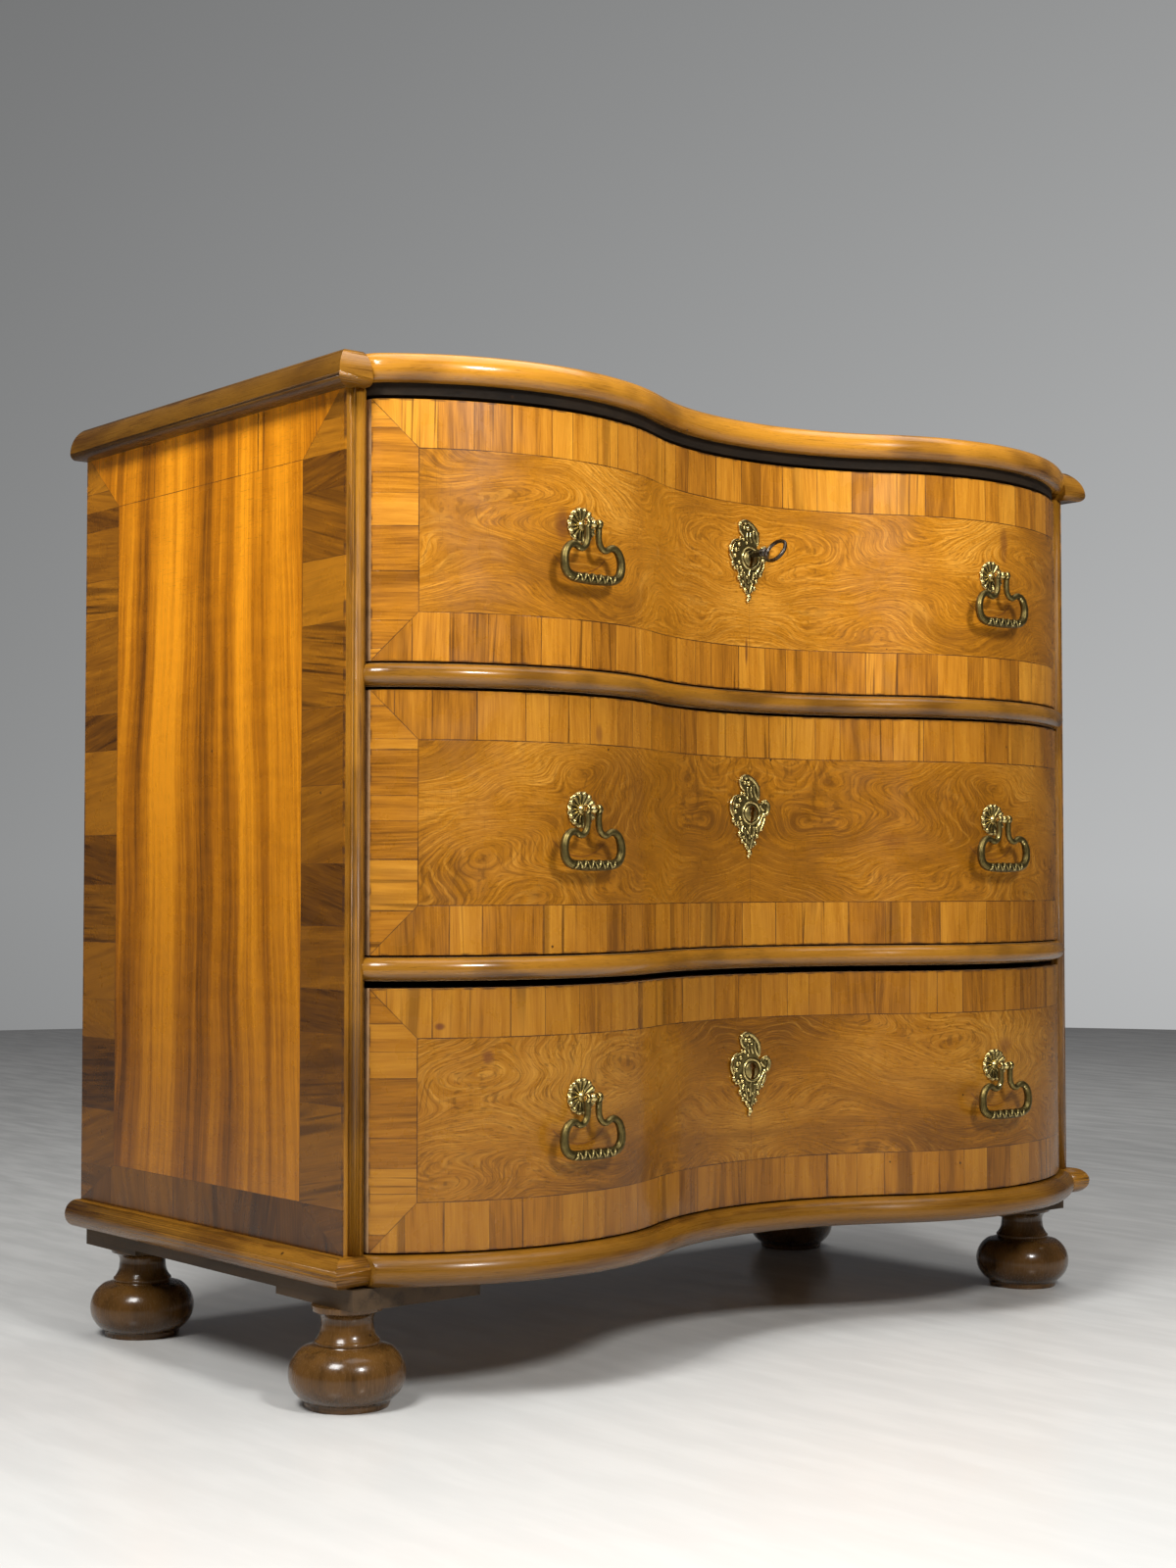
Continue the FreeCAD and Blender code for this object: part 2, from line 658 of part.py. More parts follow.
def make_runners():
    """Runners for the two upper drawers, and kickers over the top one."""
    pieces = []
    for index, (low, high) in enumerate(((LOWER_RAIL, LOWER_RAIL_TOP), (UPPER_RAIL, UPPER_RAIL_TOP),
                                         (TOP_RAIL, TOP_UNDER))):
        runner = box(f"runner_right_{index}", (INSIDE - L.runner_width, INSIDE),
                     (L.rail_depth, BACK_FRONT), (low, high))
        pieces += [runner, mirrored(runner, f"runner_left_{index}")]
    group("drawer_runners", pieces)


def make_back():
    board = INSIDE * 2 / back_board_count
    boards = [box(f"back_board_{index}", (-INSIDE + board * index, -INSIDE + board * (index + 1)),
                  (BACK_FRONT, L.carcass_depth), (BASE_TOP, TOP_UNDER))
              for index in range(back_board_count)]
    group("back_boards", boards)


def make_underside():
    """Blocks over the feet and battens between them, under the bottom board."""
    height = (L.foot_height, BASE_UNDER)
    near, far = HALF - L.block_length, HALF - L.block_setback
    back = (L.carcass_depth - L.block_length, L.carcass_depth - L.block_setback)
    front = (L.block_setback, L.block_length)
    blocks = [
        box("block_front_left", (-HALF, L.long_block - HALF), (-L.long_block_front, front[1]), height),
        box("block_front_right", (near, HALF), front, height),
        box("block_back_left", (-far, -near), back, height),
        box("block_back_right", (near, far), back, height),
    ]
    group("foot_blocks", blocks)
    batten = box("batten_right", (far - L.batten_width, far), (front[1], back[0]),
                 (BASE_UNDER - L.batten_height, BASE_UNDER))
    group("side_battens", [batten, mirrored(batten, "batten_left")])


def make_foot(label, x, y):
    """A turned ball foot with a collar, a neck and a flange under its block."""
    body = doc.addObject("PartDesign::Body", label)
    outline = [(L.foot_radius * radius, L.foot_height * height, L.foot_radius * swell)
               for radius, height, swell in foot_shares]
    outline = [(0, 0, 0)] + outline + [(0, L.foot_height, 0)]
    sketch = profile_sketch(body, "XZ_Plane", outline)
    turned = body.newObject("PartDesign::Revolution", label + "_turning")
    turned.Profile = sketch
    turned.ReferenceAxis = (sketch, ["V_Axis"])
    turned.Angle = 360
    place_body(body, x, y, 0)
    keep(body, label)


# Drawers. Each place along Y is from the stile front, as before.

def bolt_depths():
    """Front and back of the bolts: they slide against the back of the lock case."""
    back = N.face_hollow + N.front_thickness - N.lock_cover - N.bolt_gap
    return back - N.bolt_thickness, back


def tails(root, tip, low, high, low_x, high_x):
    """Dovetails of a drawer side, wider at the tip than at the root."""
    pitch = (high - low) / tail_count
    solids = []
    for index in range(tail_count):
        middle = low + pitch * (index + 1 / 2)
        narrow, wide = pitch * tail_root_share / 2, pitch * tail_tip_share / 2
        corners = [Vector(low_x, root, middle - narrow), Vector(low_x, tip, middle - wide),
                   Vector(low_x, tip, middle + wide), Vector(low_x, root, middle + narrow)]
        face = Part.Face(Part.makePolygon(corners + corners[:1]))
        solids.append(face.extrude(Vector(high_x - low_x, 0, 0)))
    return solids


def keyhole_cut(key_z, front, back):
    """Round hole with a slot below it, between two depths."""
    x = N.keyhole_offset
    hole = Part.makeCylinder(N.keyhole_radius, back - front, Vector(x, front, key_z), Vector(0, 1, 0))
    slot = block(x - N.keyhole_slot / 2, x + N.keyhole_slot / 2, front, back,
                 key_z - N.keyhole_drop, key_z)
    return hole.fuse(slot)


def band_cuts(low, high):
    """The field of a veneered front and its four mitred crossbands, as cutting prisms."""
    edge, band = float(FACE_HALF), N.crossband
    outer = [(-edge, low), (edge, low), (edge, high), (-edge, high)]
    inner = [(-edge + band, low + band), (edge - band, low + band),
             (edge - band, high - band), (-edge + band, high - band)]
    front = -N.bulge_reach - N.overrun
    shapes = [inner]
    for index in range(4):
        after = (index + 1) % 4
        shapes.append([outer[index], outer[after], inner[after], inner[index]])
    prisms = []
    for corners in shapes:
        points = [Vector(x, front, z) for x, z in corners]
        face = Part.Face(Part.makePolygon(points + points[:1]))
        prisms.append(face.extrude(Vector(0, N.end_block_depth - front, 0)))
    return prisms


def on_face(side, z):
    """Placement of a pull: its own -Y points straight out of the face."""
    x, y, radius, out, start, end = ARCS["bulge"]
    angle = -math.asin(N.pull_inset / radius)
    point = on_arc("bulge", 0, angle, z)
    if side < 0:
        point, angle = mirror_x(point), -angle
    return Placement(point, Rotation(Vector(0, 0, 1), math.degrees(angle)))


def pull_plate_solids():
    """Rosette, post, cross pin and nut, with the face at y = 0."""
    radius, thick = N.rosette_radius, N.rosette_thickness
    dish = [(N.stud_radius, 0), (radius, 0), (radius, -thick / 2), (radius - thick / 2, -thick),
            (radius / 2, -thick / 2), (N.post_radius, -thick), (N.stud_radius, -thick)]
    points = [Vector(across, up, 0) for across, up in dish]
    rosette = Part.Face(Part.makePolygon(points + points[:1])).revolve(
        Vector(0, 0, 0), Vector(0, 1, 0), 360)
    notches = []
    for index in range(scallop_count):
        angle = 2 * math.pi * index / scallop_count
        place = Vector(math.cos(angle), 0, math.sin(angle)) * (radius * scallop_place_share)
        notches.append(Part.makeCylinder(N.scallop_radius, thick + N.overrun,
                                         place + Vector(0, N.overrun / 2, 0), Vector(0, -1, 0)))
    rosette = rosette.cut(notches)
    outward = Vector(0, -1, 0)
    head = Part.makeCylinder(N.post_radius, N.pivot_reach - thick, Vector(0, -thick, 0), outward)
    knob = Part.makeSphere(N.post_radius, Vector(0, -N.pivot_reach, 0))
    nut_front = N.front_thickness + N.running_gap
    end = nut_front + N.nut_thickness + N.stud_end
    stud = Part.makeCylinder(N.stud_radius, end + thick, Vector(0, end, 0), outward)
    half = N.eye_length + N.eye_gap + N.post_radius
    pin = Part.makeCylinder(N.post_pin_radius, 2 * half, Vector(-half, -N.pivot_reach, 0),
                            Vector(1, 0, 0))
    post = head.fuse([knob, stud]).removeSplitter().cut(pin)
    wide = N.nut_width / 2
    nut = block(-wide, wide, nut_front, nut_front + N.nut_thickness, -wide, wide)
    nut = nut.cut(Part.makeCylinder(N.stud_radius, 2 * end, Vector(0, 2 * end, 0), outward))
    return [rosette, post, pin, nut]


def bail_solid():
    """The hanging handle: two eyes, S-shaped legs and a swelling grip."""
    half, drop, reach = N.bail_width / 2 - N.bail_rod, N.bail_drop - N.bail_rod, -N.pivot_reach
    eye_middle = N.post_radius + N.eye_gap + N.eye_length / 2
    right = [Vector(eye_middle, reach, -N.eye_radius / 2)]
    right += [Vector(across * half, reach, up * drop) for across, up in bail_shares]
    points = right + [mirror_x(point) for point in reversed(right)]
    parts = [routed(points, N.bail_rod)]
    for side in (-1, 1):
        start = side * eye_middle - N.eye_length / 2
        parts.append(Part.makeCylinder(N.eye_radius, N.eye_length, Vector(start, reach, 0),
                                       Vector(1, 0, 0)))
    grip = N.bail_width * grip_share
    low = bail_shares[-1][1] * drop
    ends = [Vector(-grip, reach, low), Vector(grip, reach, low)]
    edge = N.bail_rod
    swell = Part.Arc(ends[0] + Vector(0, 0, edge), Vector(0, reach, low + N.bail_swell),
                     ends[1] + Vector(0, 0, edge)).toShape()
    lines = [Part.makeLine(ends[1] + Vector(0, 0, edge), ends[1]), Part.makeLine(ends[1], ends[0]),
             Part.makeLine(ends[0], ends[0] + Vector(0, 0, edge))]
    parts.append(Part.Face(Part.Wire([swell] + lines)).revolve(ends[0], Vector(1, 0, 0), 360))
    whole = parts[0].fuse(parts[1:])
    hole = N.post_pin_radius + N.pin_clearance
    far = eye_middle + N.eye_length
    bore = Part.makeCylinder(hole, 2 * far, Vector(-far, reach, 0), Vector(1, 0, 0))
    clear = N.post_radius + N.eye_gap
    throat = block(-clear, clear, reach - N.eye_radius, reach + N.eye_radius,
                   -N.eye_radius, N.eye_radius)
    return whole.cut([bore, throat])


def escutcheon(key_z):
    """A cartouche plate with raised ring and scrolls, bent to the hollow of the face."""
    x0 = N.keyhole_offset

    def places(shares, y):
        return [Vector(x0 + across * N.plate_width, y, key_z + up * N.plate_height)
                for across, up in shares]

    front = N.face_hollow - N.plate_width
    outline = Part.Face(routed(places(plate_shares, front), 0, closed=True))
    prism = outline.extrude(Vector(0, 2 * N.plate_width, 0))
    low, high = key_z - N.plate_height, key_z + N.plate_height
    sheet_metal = slab(L.plate_thickness, L.plate_width, L.end_block_depth, low, high).cut(
        slab(0, L.plate_width, L.end_block_depth, low, high))
    plate = prism.common(sheet_metal)
    hollow = ARCS["hollow"][2] - N.plate_thickness
    for shares in scroll_shares:
        flat = places(shares, 0)
        far = sum(point.x for point in flat) / len(flat)
        depth = N.face_hollow - N.plate_thickness - hollow + math.sqrt(hollow ** 2 - far ** 2)
        plate = plate.fuse(routed(places(shares, depth), N.plate_rib))
    middle = N.face_hollow - N.plate_thickness
    ring = Part.makeTorus(N.plate_ring, N.plate_rib, Vector(x0, middle, key_z), Vector(0, 1, 0))
    plate = plate.fuse(ring)
    behind = slab(0, L.plate_width, L.end_block_depth, low, high)
    return plate.cut(behind).cut(keyhole_cut(key_z, front, N.end_block_depth)).removeSplitter()


def make_lock(name, high, key_z):
    """Lock case let into the back of the front: a tray and its cover, with the bolt inside."""
    x0, half = N.keyhole_offset, N.lock_width / 2
    back = N.face_hollow + N.front_thickness
    front, low, wall = back - N.lock_depth, key_z - N.lock_below, N.lock_plate
    cover_front = back - N.lock_cover
    tray = block(x0 - half, x0 + half, front, cover_front, low, high)
    inside = block(x0 - half + wall, x0 + half - wall, front + wall, cover_front,
                   low + wall, high - wall)
    bolt_front, bolt_back = bolt_depths()
    gap, bolt_half = N.bolt_gap, N.bolt_width / 2
    slot = block(x0 - bolt_half - gap, x0 + bolt_half + gap, bolt_front - gap, bolt_back + gap,
                 high - 2 * wall, high + N.overrun)
    tray = tray.cut([inside, slot, keyhole_cut(key_z, front - N.overrun, front + wall)])
    cover = block(x0 - half, x0 + half, cover_front, back, low, high)
    feature(name + "_lock", Part.Compound([tray, cover]))
    feature(name + "_lock_bolt", block(x0 - bolt_half, x0 + bolt_half, bolt_front, bolt_back,
                                       key_z + N.bolt_above, high - N.running_gap))
    return block(x0 - half, x0 + half, front, back + N.front_thickness, low, high + N.overrun)


def make_drawer(name, opening, gap):
    """One drawer: a serpentine front, dovetailed sides, a back and a raised bottom."""
    floor = float(opening) + N.running_gap
    low, high = float(opening + L.drawer_lift), float(opening + L.opening_height - gap)
    face_half, side, block_back = float(FACE_HALF), N.side_thickness, N.end_block_depth
    inner = face_half - side
    rear = float(BACK_FRONT) - N.drawer_back_gap
    back_front = rear - N.drawer_back_thickness
    side_top = high - N.side_drop
    bottom_low = floor + N.bottom_rise
    bottom_high = bottom_low + N.bottom_thickness
    key_z, pull_z = low + N.keyhole_height, low + N.pull_height

    front_tails = tails(block_back, block_back - N.front_tail_length, low, side_top, inner, face_half)
    back_tails = tails(back_front, rear, bottom_high, side_top, inner, face_half)
    bottom = slab(L.groove - L.front_thickness, inner, rear, bottom_low, bottom_high).fuse(
        block(-inner - N.groove, inner + N.groove, block_back, rear, bottom_low, bottom_high))
    bottom = bottom.removeSplitter()
    lock_pocket = make_lock(name, high, key_z)

    pulls = [on_face(side_sign, pull_z) for side_sign in (-1, 1)]
    stud = Part.makeCylinder(N.stud_radius, N.front_thickness * 2,
                             Vector(0, N.front_thickness * 3 / 2, 0), Vector(0, -1, 0))
    holes = [keyhole_cut(key_z, -N.bulge_reach, block_back + N.front_thickness)]
    for place in pulls:
        hole = stud.copy()
        hole.Placement = place
        holes.append(hole)
    left_tails = [tail.mirror(Vector(0, 0, 0), Vector(1, 0, 0)) for tail in front_tails + back_tails]
    behind = N.face_hollow + 2 * N.front_thickness
    core = slab(-L.veneer, face_half, behind, low, high)
    hollow = slab(-L.front_thickness, inner, behind + N.overrun, low - N.overrun, high + N.overrun)
    rear_corners = [block(start, end, block_back, behind + N.overrun, low, high)
                    for start, end in ((inner - side, face_half), (-face_half, side - inner))]
    core = core.cut([hollow] + rear_corners)
    core = core.cut(front_tails + left_tails[:tail_count] + [bottom, lock_pocket] + holes)
    feature(name + "_drawer_front", core)

    skin = slab(0, face_half, block_back, low, high).cut(
        slab(-L.veneer, face_half, block_back, low, high)).cut(holes)
    feature(name + "_drawer_veneer", Part.Compound([skin.common(cut) for cut in band_cuts(low, high)]))

    right = block(inner, face_half, block_back, back_front, floor, side_top)
    right = right.fuse([block(inner, face_half, back_front, rear, floor, bottom_high)]
                       + front_tails + back_tails).removeSplitter().cut(bottom)
    sides = [right, right.mirror(Vector(0, 0, 0), Vector(1, 0, 0))]
    feature(name + "_drawer_sides", Part.Compound(sides))
    back = block(-face_half, face_half, back_front, rear, bottom_high, side_top)
    feature(name + "_drawer_back", back.cut(back_tails + left_tails[tail_count:]))
    feature(name + "_drawer_bottom", bottom)

    feature(name + "_escutcheon", escutcheon(key_z))
    plates = []
    for side_name, place in zip(("left", "right"), pulls):
        for solid in PULL_PLATE:
            copy = solid.copy()
            copy.Placement = place
            plates.append(copy)
        bail = BAIL.copy()
        bail.Placement = place
        feature(f"{name}_bail_{side_name}", Part.Compound([bail]))
    feature(name + "_pull_plates", Part.Compound(plates))
    return key_z


def make_key(key_z):
    """The key in the top lock: bit, shank, collar and ring bow, leaning as it has been turned."""
    outward = Vector(0, -1, 0)
    at = Vector(N.keyhole_offset, 0, key_z)
    front, back = bolt_depths()
    face = N.face_hollow
    shank_end = face - N.shank_show
    shank = Part.makeCylinder(N.shank_radius, back - shank_end, at + Vector(0, back, 0), outward)
    lock_front = face + N.front_thickness - N.lock_depth
    bit_front = lock_front + N.lock_plate + N.bolt_gap
    bit = block(-N.bit_thickness / 2, N.bit_thickness / 2, bit_front, bit_front + N.bit_length - N.bolt_gap,
                -N.bit_reach, 0)
    bit.translate(at)
    collar = Part.makeCylinder(N.collar_radius, N.collar_length, at + Vector(0, shank_end, 0), outward)
    middle = shank_end - N.collar_length - N.bow_radius
    bow = Part.makeTorus(N.bow_radius, N.bow_rod, at + Vector(0, middle, 0), Vector(1, 0, 0))
    key = shank.fuse([bit, collar, bow]).removeSplitter()
    key.rotate(at, Vector(0, 1, 0), N.key_lean)
    feature("key", key)


make_sides()
make_stiles()
make_side_moulding("top_moulding", top_side_profile(), L.top_side_reach, TOP_SIDE_UNDER)
make_side_moulding("base_moulding", base_side_profile(), L.base_side_reach, BASE_UNDER)
make_corner_returns()
board_with_front_moulding("top_board", "top_moulding_front", top_front_profile(),
                          TOP_UNDER, TOP, L.top_seam)
board_with_front_moulding("bottom_board", "base_moulding_front", base_front_profile(),
                          BASE_UNDER, BASE_TOP, L.base_seam)
make_rails()
make_runners()
make_back()
make_underside()
make_foot("foot_front_left", L.front_foot_inset - HALF, L.front_left_foot_depth)
make_foot("foot_front_right", HALF - L.front_foot_inset, L.front_right_foot_depth)
make_foot("foot_back_left", L.back_left_foot_inset - HALF, L.carcass_depth - L.back_left_foot_depth)
make_foot("foot_back_right", HALF - L.back_right_foot_inset,
          L.carcass_depth - L.back_right_foot_depth)

PULL_PLATE = pull_plate_solids()
BAIL = bail_solid()
make_drawer("bottom", BASE_TOP, L.bottom_drawer_gap)
make_drawer("middle", LOWER_RAIL_TOP, L.middle_drawer_gap)
make_key(make_drawer("top", UPPER_RAIL_TOP, L.top_drawer_gap))

doc.recompute()
for item in doc.Objects:
    if "Invalid" in item.State or "Error" in item.State:
        raise RuntimeError(f"{item.Name} failed: {item.State}")
for node in nodes:
    if node.Shape.isNull() or not node.Shape.isValid() or not node.Shape.Solids:
        raise RuntimeError(f"{node.Label} has no valid shape")

os.makedirs("parts", exist_ok=True)
for node in nodes:
    node.Shape.exportStep(f"parts/{node.Label}.step")
print(len(nodes), "nodes,", sum(len(node.Shape.Solids) for node in nodes), "solids")
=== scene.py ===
"""Serpentine chest of three drawers: veneered walnut, ball feet, brass bails and locks."""
import math

import bpy
from bpy.props import FloatProperty, FloatVectorProperty, IntProperty, PointerProperty
from mathutils import Matrix, Vector


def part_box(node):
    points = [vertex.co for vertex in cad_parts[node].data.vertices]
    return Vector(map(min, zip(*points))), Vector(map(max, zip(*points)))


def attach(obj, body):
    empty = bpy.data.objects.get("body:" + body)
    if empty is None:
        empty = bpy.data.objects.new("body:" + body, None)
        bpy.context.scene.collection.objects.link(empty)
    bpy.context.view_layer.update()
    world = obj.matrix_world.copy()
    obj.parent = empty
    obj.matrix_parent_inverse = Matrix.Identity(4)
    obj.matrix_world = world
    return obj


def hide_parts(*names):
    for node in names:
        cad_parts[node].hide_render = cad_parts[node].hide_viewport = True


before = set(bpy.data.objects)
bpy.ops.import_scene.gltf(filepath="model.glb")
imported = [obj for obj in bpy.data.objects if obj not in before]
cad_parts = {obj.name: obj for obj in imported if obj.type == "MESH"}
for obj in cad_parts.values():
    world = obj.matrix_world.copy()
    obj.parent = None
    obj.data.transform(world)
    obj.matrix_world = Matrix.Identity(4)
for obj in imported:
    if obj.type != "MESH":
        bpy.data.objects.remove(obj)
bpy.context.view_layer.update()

bl_info = {
    "name": "Serpentine chest of drawers",
    "version": (1, 0, 0),
    "blender": (4, 5, 0),
    "location": "3D View > Sidebar > Chest",
    "description": "Veneers, mouldings, feet and brass of a serpentine chest of drawers",
    "category": "Object",
}

MM = 0.001
DRAWERS = ("bottom", "middle", "top")
SIDES = (("left", -1), ("right", 1))

# The face is the plan curve of the fronts: a hollow arc, a bulging arc and an end arc each way
STILE_FRONT = -0.1773
FACE_HALF = 0.4288
FACE_HOLLOW = 0.0064
BULGE_REACH = 0.0664
BULGE_PLACE = 0.270
END_ROUND = 0.0268
HOLLOW_SHARE = 0.544
END_TURN = math.radians(60)
BACK = 0.2637
SIDE = 0.450
BASE_TOP = 0.1234
TOP_UNDER = 0.826
FRONT_LEVELS = {"bottom": (0.1249, 0.3356), "middle": (0.3621, 0.5760), "top": (0.5993, 0.8125)}
KEYHOLE_UP = 0.126
KEYHOLE_X = 0.004
PULL_UP = 0.119
PULL_X = 0.259
PIVOT_REACH = 0.0155


def face_arcs():
    """Centre, radius and angle limits of the three arcs."""
    turn = 2 * math.atan((FACE_HOLLOW + BULGE_REACH) / BULGE_PLACE)
    both = BULGE_PLACE / math.sin(turn)
    hollow = both * HOLLOW_SHARE
    bulge = both - hollow
    hollow_y = FACE_HOLLOW - hollow
    bulge_y = hollow_y + both * math.cos(turn)
    reach = FACE_HALF - BULGE_PLACE - END_ROUND * math.sin(END_TURN)
    meet = math.asin(reach / (bulge - END_ROUND))
    end_x = BULGE_PLACE + (bulge - END_ROUND) * math.sin(meet)
    end_y = bulge_y - (bulge - END_ROUND) * math.cos(meet)
    return {
        "hollow": (0, STILE_FRONT + hollow_y, hollow, -turn, turn),
        "bulge": (BULGE_PLACE, STILE_FRONT + bulge_y, bulge, -turn, meet),
        "end": (end_x, STILE_FRONT + end_y, END_ROUND, meet, END_TURN),
    }


ARCS = face_arcs()


def face_run():
    """Length of the face curve from its middle to an end."""
    _, _, hollow, _, turn = ARCS["hollow"]
    _, _, bulge, first, meet = ARCS["bulge"]
    _, _, end, start, last = ARCS["end"]
    return hollow * turn + bulge * (meet - first) + end * (last - start)


FACE_RUN = face_run()


def along_face(x, y):
    """Distance along the face curve from its middle, and distance out from it."""
    across = abs(x)
    _, hollow_y, hollow, _, turn = ARCS["hollow"]
    bulge_x, bulge_y, bulge, _, meet = ARCS["bulge"]
    end_x, end_y, end, _, _ = ARCS["end"]
    angle = math.atan2(across, y - hollow_y)
    if angle < turn and y > hollow_y:
        run, out = hollow * angle, hollow - math.hypot(across, y - hollow_y)
    else:
        angle = math.atan2(across - bulge_x, bulge_y - y)
        run = hollow * turn + bulge * (angle + turn)
        out = math.hypot(across - bulge_x, bulge_y - y) - bulge
        if angle > meet and across > end_x:
            angle = min(math.atan2(across - end_x, max(end_y - y, 0)), math.pi / 2)
            run = hollow * turn + bulge * (meet + turn) + end * (angle - meet)
            out = math.hypot(across - end_x, end_y - y) - end
            if y > end_y:
                run, out = run + y - end_y, across - end_x - end
    return math.copysign(run, x), out


def face_place(x):
    """The point of the face at x on a bulge, and the turn of its normal."""
    centre_x, centre_y, radius, _, _ = ARCS["bulge"]
    angle = math.asin((abs(x) - centre_x) / radius)
    return Vector((x, centre_y - radius * math.cos(angle), 0)), math.copysign(1, x) * angle


# Mesh tools

def only(piece):
    """Selects one object alone and makes it active."""
    bpy.ops.object.select_all(action="DESELECT")
    piece.select_set(True)
    bpy.context.view_layer.objects.active = piece
    return piece


def editing(piece, mode="VERT"):
    only(piece)
    bpy.ops.object.mode_set(mode="EDIT")
    bpy.ops.mesh.select_mode(type=mode)
    bpy.ops.mesh.select_all(action="DESELECT")


def whole(piece, mode="VERT"):
    """Edits a piece with all of it selected."""
    editing(piece, mode)
    bpy.ops.mesh.select_all(action="SELECT")


def done():
    bpy.ops.object.mode_set(mode="OBJECT")


def pick(piece, test, kind="vertices"):
    """Selects the vertices or faces of the piece in edit mode that pass a test."""
    bpy.ops.object.mode_set(mode="OBJECT")
    for elements in (piece.data.polygons, piece.data.edges, piece.data.vertices):
        for element in elements:
            element.select = False
    for element in getattr(piece.data, kind):
        element.select = bool(test(element))
    bpy.ops.object.mode_set(mode="EDIT")


def added(name):
    """The primitive just added, renamed, with its place in its mesh."""
    piece = bpy.context.object
    bpy.ops.object.transform_apply(location=True, rotation=True, scale=True)
    piece.name = name
    piece.data.name = name
    return piece


def block(name, place, size):
    """A box with its middle at a place."""
    bpy.ops.object.select_all(action="DESELECT")
    bpy.ops.mesh.primitive_cube_add(size=1, location=place, scale=size)
    return added(name)


def drawn(name, points):
    """A line through points, drawn by extruding one vertex."""
    bpy.ops.object.select_all(action="DESELECT")
    bpy.ops.mesh.primitive_plane_add(size=MM, location=points[0])
    piece = added(name)
    whole(piece)
    bpy.ops.mesh.merge(type="CENTER")
    for start, end in zip(points, points[1:]):
        step = [b - a for a, b in zip(start, end)]
        bpy.ops.mesh.extrude_vertices_move(TRANSFORM_OT_translate={"value": step})
    done()
    return piece


def cleaned(piece):
    whole(piece)
    bpy.ops.mesh.remove_doubles(threshold=0.01 * MM)
    bpy.ops.mesh.normals_make_consistent(inside=False)
    done()
    return piece


def turned(name, outline, centre, axis=(0, 0, 1), steps=48):
    """An outline spun all the way round an axis."""
    piece = drawn(name, outline)
    whole(piece)
    bpy.ops.mesh.spin(steps=steps, angle=2 * math.pi, center=centre, axis=axis)
    done()
    return cleaned(piece)


def modified(piece, kind, **settings):
    """Adds a modifier and applies it."""
    only(piece)
    modifier = piece.modifiers.new(kind.title(), kind)
    for name, value in settings.items():
        setattr(modifier, name, value)
    bpy.ops.object.modifier_apply(modifier=modifier.name)
    return piece


def smoothed(piece, angle=35):
    only(piece)
    bpy.ops.object.shade_smooth_by_angle(angle=math.radians(angle))
    return piece


def joined(name, pieces):
    bpy.ops.object.select_all(action="DESELECT")
    for piece in pieces:
        piece.select_set(True)
    bpy.context.view_layer.objects.active = pieces[0]
    if len(pieces) > 1:
        bpy.ops.object.join()
    pieces[0].name = name
    pieces[0].data.name = name
    return pieces[0]


def copied(piece, name, place):
    """A copy with its own mesh, put in place inside its mesh."""
    copy = piece.copy()
    copy.data = piece.data.copy()
    copy.name = name
    copy.data.name = name
    bpy.context.collection.objects.link(copy)
    copy.matrix_world = place
    only(copy)
    bpy.ops.object.transform_apply(location=True, rotation=True, scale=True)
    return copy


def dropped(piece):
    bpy.data.objects.remove(piece, do_unlink=True)


def dressed(node, name, angle=35):
    """A merged and smoothed copy of a CAD node's mesh."""
    piece = bpy.data.objects.new(name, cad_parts[node].data.copy())
    piece.data.materials.clear()
    bpy.context.collection.objects.link(piece)
    whole(piece)
    bpy.ops.mesh.remove_doubles(threshold=0.002 * MM)
    done()
    return smoothed(piece, angle)


def follow_face(piece):
    """Keeps each vertex's place along the face, out from it and up, for the grain to follow."""
    layer = piece.data.attributes.new("along", "FLOAT_VECTOR", "POINT")
    for vertex, place in zip(piece.data.vertices, layer.data):
        run, out = along_face(vertex.co.x, vertex.co.y)
        place.vector = (run, out, vertex.co.z)
    return piece


def finished(piece, material, body, slot, *nodes):
    """Gives a piece its material and its body, and hides the nodes it stands for; its slot is not used."""
    piece.data.materials.clear()
    piece.data.materials.append(material)
    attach(piece, body)
    if nodes:
        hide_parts(*nodes)
    return piece


def paint(material, *nodes):
    """Gives CAD nodes a material."""
    for node in nodes:
        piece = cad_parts[node]
        if not piece.material_slots:
            piece.data.materials.append(None)
        for place in piece.material_slots:
            place.link = "OBJECT"
            place.material = material


def keyhole_cutter(place):
    """The round hole of a keyhole and the slot below it, through whatever stands there."""
    x, y, z = place
    bpy.ops.object.select_all(action="DESELECT")
    bpy.ops.mesh.primitive_cylinder_add(vertices=32, radius=3.5 * MM, depth=20 * MM,
                                        location=place, rotation=(math.pi / 2, 0, 0))
    hole = added("hole")
    slot = block("slot", (x, y, z - 6 * MM), (4.2 * MM, 20.1 * MM, 12 * MM))
    modified(hole, "BOOLEAN", operation="UNION", object=slot, solver="EXACT")
    dropped(slot)
    return hole


def pull_place(drawer, sign):
    """Where a pull sits on a drawer's face, turned to face out."""
    point, turn = face_place(sign * PULL_X)
    up = Vector((0, 0, FRONT_LEVELS[drawer][0] + PULL_UP))
    return Matrix.Translation(point + up) @ Matrix.Rotation(turn, 4, "Z")


# Material tools

def plug(tree, socket, value):
    if isinstance(value, Flow):
        tree.links.new(value.socket, socket)
    else:
        socket.default_value = value


